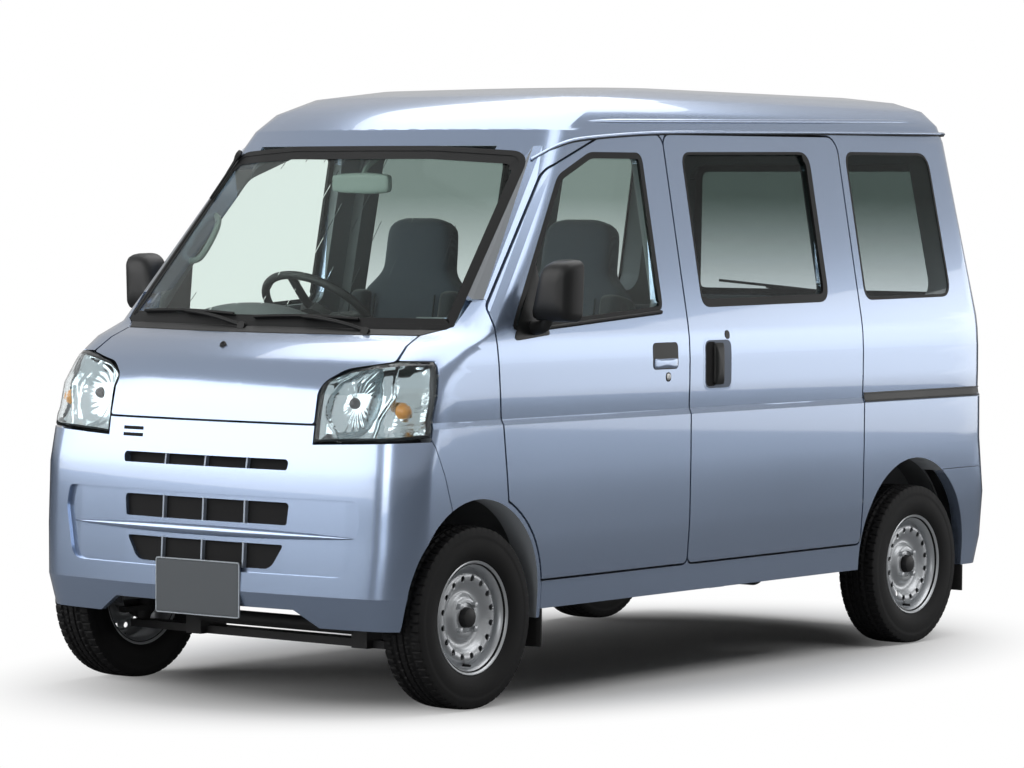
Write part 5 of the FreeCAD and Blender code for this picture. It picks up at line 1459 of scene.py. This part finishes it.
chassis_black = finish_of("chassis_black", (0.02, 0.02, 0.021), 0.55, variation=0.25, broad=5, fine=500,
                          bump=0.2)
for name in ("front_suspension", "frame_rails", "rear_axle", "leaf_springs", "fuel_tank", "knuckle_left",
             "knuckle_right"):
    dress(nodes[name], chassis_black)
cast_metal = finish_of("cast_metal", (0.18, 0.18, 0.185), 0.55, variation=0.3, broad=7, fine=260, bump=0.5,
                       Metallic=0.7)
dress(nodes["engine"], cast_metal)
pipe_steel = finish_of("pipe_steel", (0.24, 0.21, 0.18), 0.45, variation=0.35, broad=9, fine=500, bump=0.2,
                       Metallic=0.8)
dress(nodes["exhaust"], pipe_steel)
flap_rubber = finish_of("flap_rubber", (0.016, 0.016, 0.016), 0.65, variation=0.25, fine=800, bump=0.3)
dress(nodes["mud_flaps"], flap_rubber)

# Studio
# Pale seamless floor, one wide soft box overhead, one low at the rear left and two at the front, and
# the camera at the photograph's place. The floor fades to white away from the van, for the camera.

FLOOR_HALF, GLOW_START, GLOW_END, MIRRORED_DIM = 60, 0.8, 1.45, 0.72
corners = [(-FLOOR_HALF, -FLOOR_HALF, 0), (FLOOR_HALF, -FLOOR_HALF, 0), (FLOOR_HALF, FLOOR_HALF, 0),
           (-FLOOR_HALF, FLOOR_HALF, 0)]
floor = mesh_object("studio_floor", corners, [(0, 1, 2, 3)], False)
floor_paper = bpy.data.materials.new("floor_paper")
floor_paper.use_nodes = True
tree = floor_paper.node_tree
paper = tree.nodes["Principled BSDF"]
for key, value in (("Base Color", (0.74, 0.74, 0.74, 1)), ("Roughness", 0.9), ("Specular IOR Level", 0.1)):
    paper.inputs[key].default_value = value
glow = add_node(tree, "ShaderNodeEmission", Color=(1, 1, 1, 1), Strength=1.0)
spot = tree.nodes.new("ShaderNodeTexCoord").outputs["Object"]
reach = vector_maths(tree, "LENGTH", vector_maths(tree, "MULTIPLY", spot, (1, 0.6, 0)))
edge = ranged(tree, reach, GLOW_START, GLOW_END, kind="SMOOTHSTEP")
rays = tree.nodes.new("ShaderNodeLightPath").outputs
seen = maths(tree, "MAXIMUM", rays["Is Camera Ray"], rays["Is Transmission Ray"])
dim = maths(tree, "MULTIPLY", rays["Is Glossy Ray"], MIRRORED_DIM)
shade = add_node(tree, "ShaderNodeBsdfDiffuse", Color=(0.02, 0.022, 0.026, 1))
lit = add_node(tree, "ShaderNodeMixShader", i0=dim, i1=paper.outputs[0], i2=shade.outputs[0])
both = add_node(tree, "ShaderNodeMixShader", i0=maths(tree, "MULTIPLY", edge, seen), i1=lit.outputs[0],
                i2=glow.outputs[0])
tree.links.new(both.outputs[0], tree.nodes["Material Output"].inputs["Surface"])
floor.data.materials.append(floor_paper)

# The air is white for the camera, dim for diffuse light, and brighter upward where it is mirrored.
AIR_DIFFUSE, AIR_LOW, AIR_HIGH = 0.08, 0.12, 0.52
world = bpy.data.worlds.new("studio_air")
bpy.context.scene.world = world
world.use_nodes = True
tree = world.node_tree
air = tree.nodes["Background"]
rays = tree.nodes.new("ShaderNodeLightPath").outputs
direct = maths(tree, "MAXIMUM", rays["Is Camera Ray"], rays["Is Transmission Ray"])
way = tree.nodes.new("ShaderNodeTexCoord").outputs["Generated"]
axes = add_node(tree, "ShaderNodeSeparateXYZ", Vector=way)
sky = ranged(tree, axes.outputs["Z"], -0.02, 0.09, AIR_LOW, AIR_HIGH, "SMOOTHSTEP")
soft = add_node(tree, "ShaderNodeMix", {"data_type": "FLOAT"}, i0=rays["Is Glossy Ray"], i2=AIR_DIFFUSE,
                i3=sky)
level = add_node(tree, "ShaderNodeMix", {"data_type": "FLOAT"}, i0=direct, i2=soft.outputs[0], i3=1.0)
tree.links.new(level.outputs[0], air.inputs["Strength"])
air.inputs["Color"].default_value = (1, 1, 1, 1)


def soft_box(name, place, target, wide, deep, watts):
    """A rectangular area lamp turned to a target."""
    lamp = bpy.data.lights.new(name, "AREA")
    lamp.shape = "RECTANGLE"
    lamp.size, lamp.size_y = wide, deep
    lamp.energy = watts
    stand = bpy.data.objects.new(name, lamp)
    stand.location = place
    stand.rotation_mode = "QUATERNION"
    stand.rotation_quaternion = (Vector(target) - Vector(place)).to_track_quat("-Z", "Y")
    bpy.context.scene.collection.objects.link(stand)
    return stand


soft_box("overhead_box", (0.9, 1.7, 5.0), (0.9, 1.7, 0), 8.0, 5.8, 330)
side_lamp = soft_box("side_box", (5.6, 7.4, 1.4), (0.7, 0.5, 1.2), 9.0, 2.2, 120)
side_lamp.visible_diffuse = False
soft_box("front_box", (-4.2, -6.6, 3.2), (0, -1.6, 0.9), 7.4, 5.2, 330)
soft_box("corner_box", (2.0, -8.4, 2.2), (0.5, -1.4, 0.8), 2.0, 3.4, 85)

# The camera was fitted to the photograph: its focal length in pixels, the photograph's width in
# pixels, its turn, rise and roll in degrees, and its place in metres.
FOCAL_PIXELS, PHOTO_WIDTH, SENSOR_WIDTH = 4065.7, 1024, 36
TURN, RISE, ROLL = 37.29, 2.427, 0.383
CAMERA_PLACE = (8.008, -10.6805, 1.464)

scene = bpy.context.scene
scene.view_settings.view_transform = "Standard"
lens = bpy.data.cameras.new("camera")
lens.sensor_width = SENSOR_WIDTH
lens.lens = FOCAL_PIXELS * SENSOR_WIDTH / PHOTO_WIDTH
lens.clip_start, lens.clip_end = 0.1, 200
camera = bpy.data.objects.new("camera", lens)
scene.collection.objects.link(camera)
turn, rise, roll = math.radians(TURN), math.radians(RISE), math.radians(ROLL)
back = Vector((math.sin(turn) * math.cos(rise), -math.cos(turn) * math.cos(rise), math.sin(rise)))
across = Vector((math.cos(turn), math.sin(turn), 0))
above = back.cross(across)
right = math.cos(roll) * across + math.sin(roll) * above
up = math.cos(roll) * above - math.sin(roll) * across
facing = Matrix((right, up, back)).transposed().to_4x4()
facing.translation = Vector(CAMERA_PLACE)
camera.matrix_world = facing
scene.camera = camera
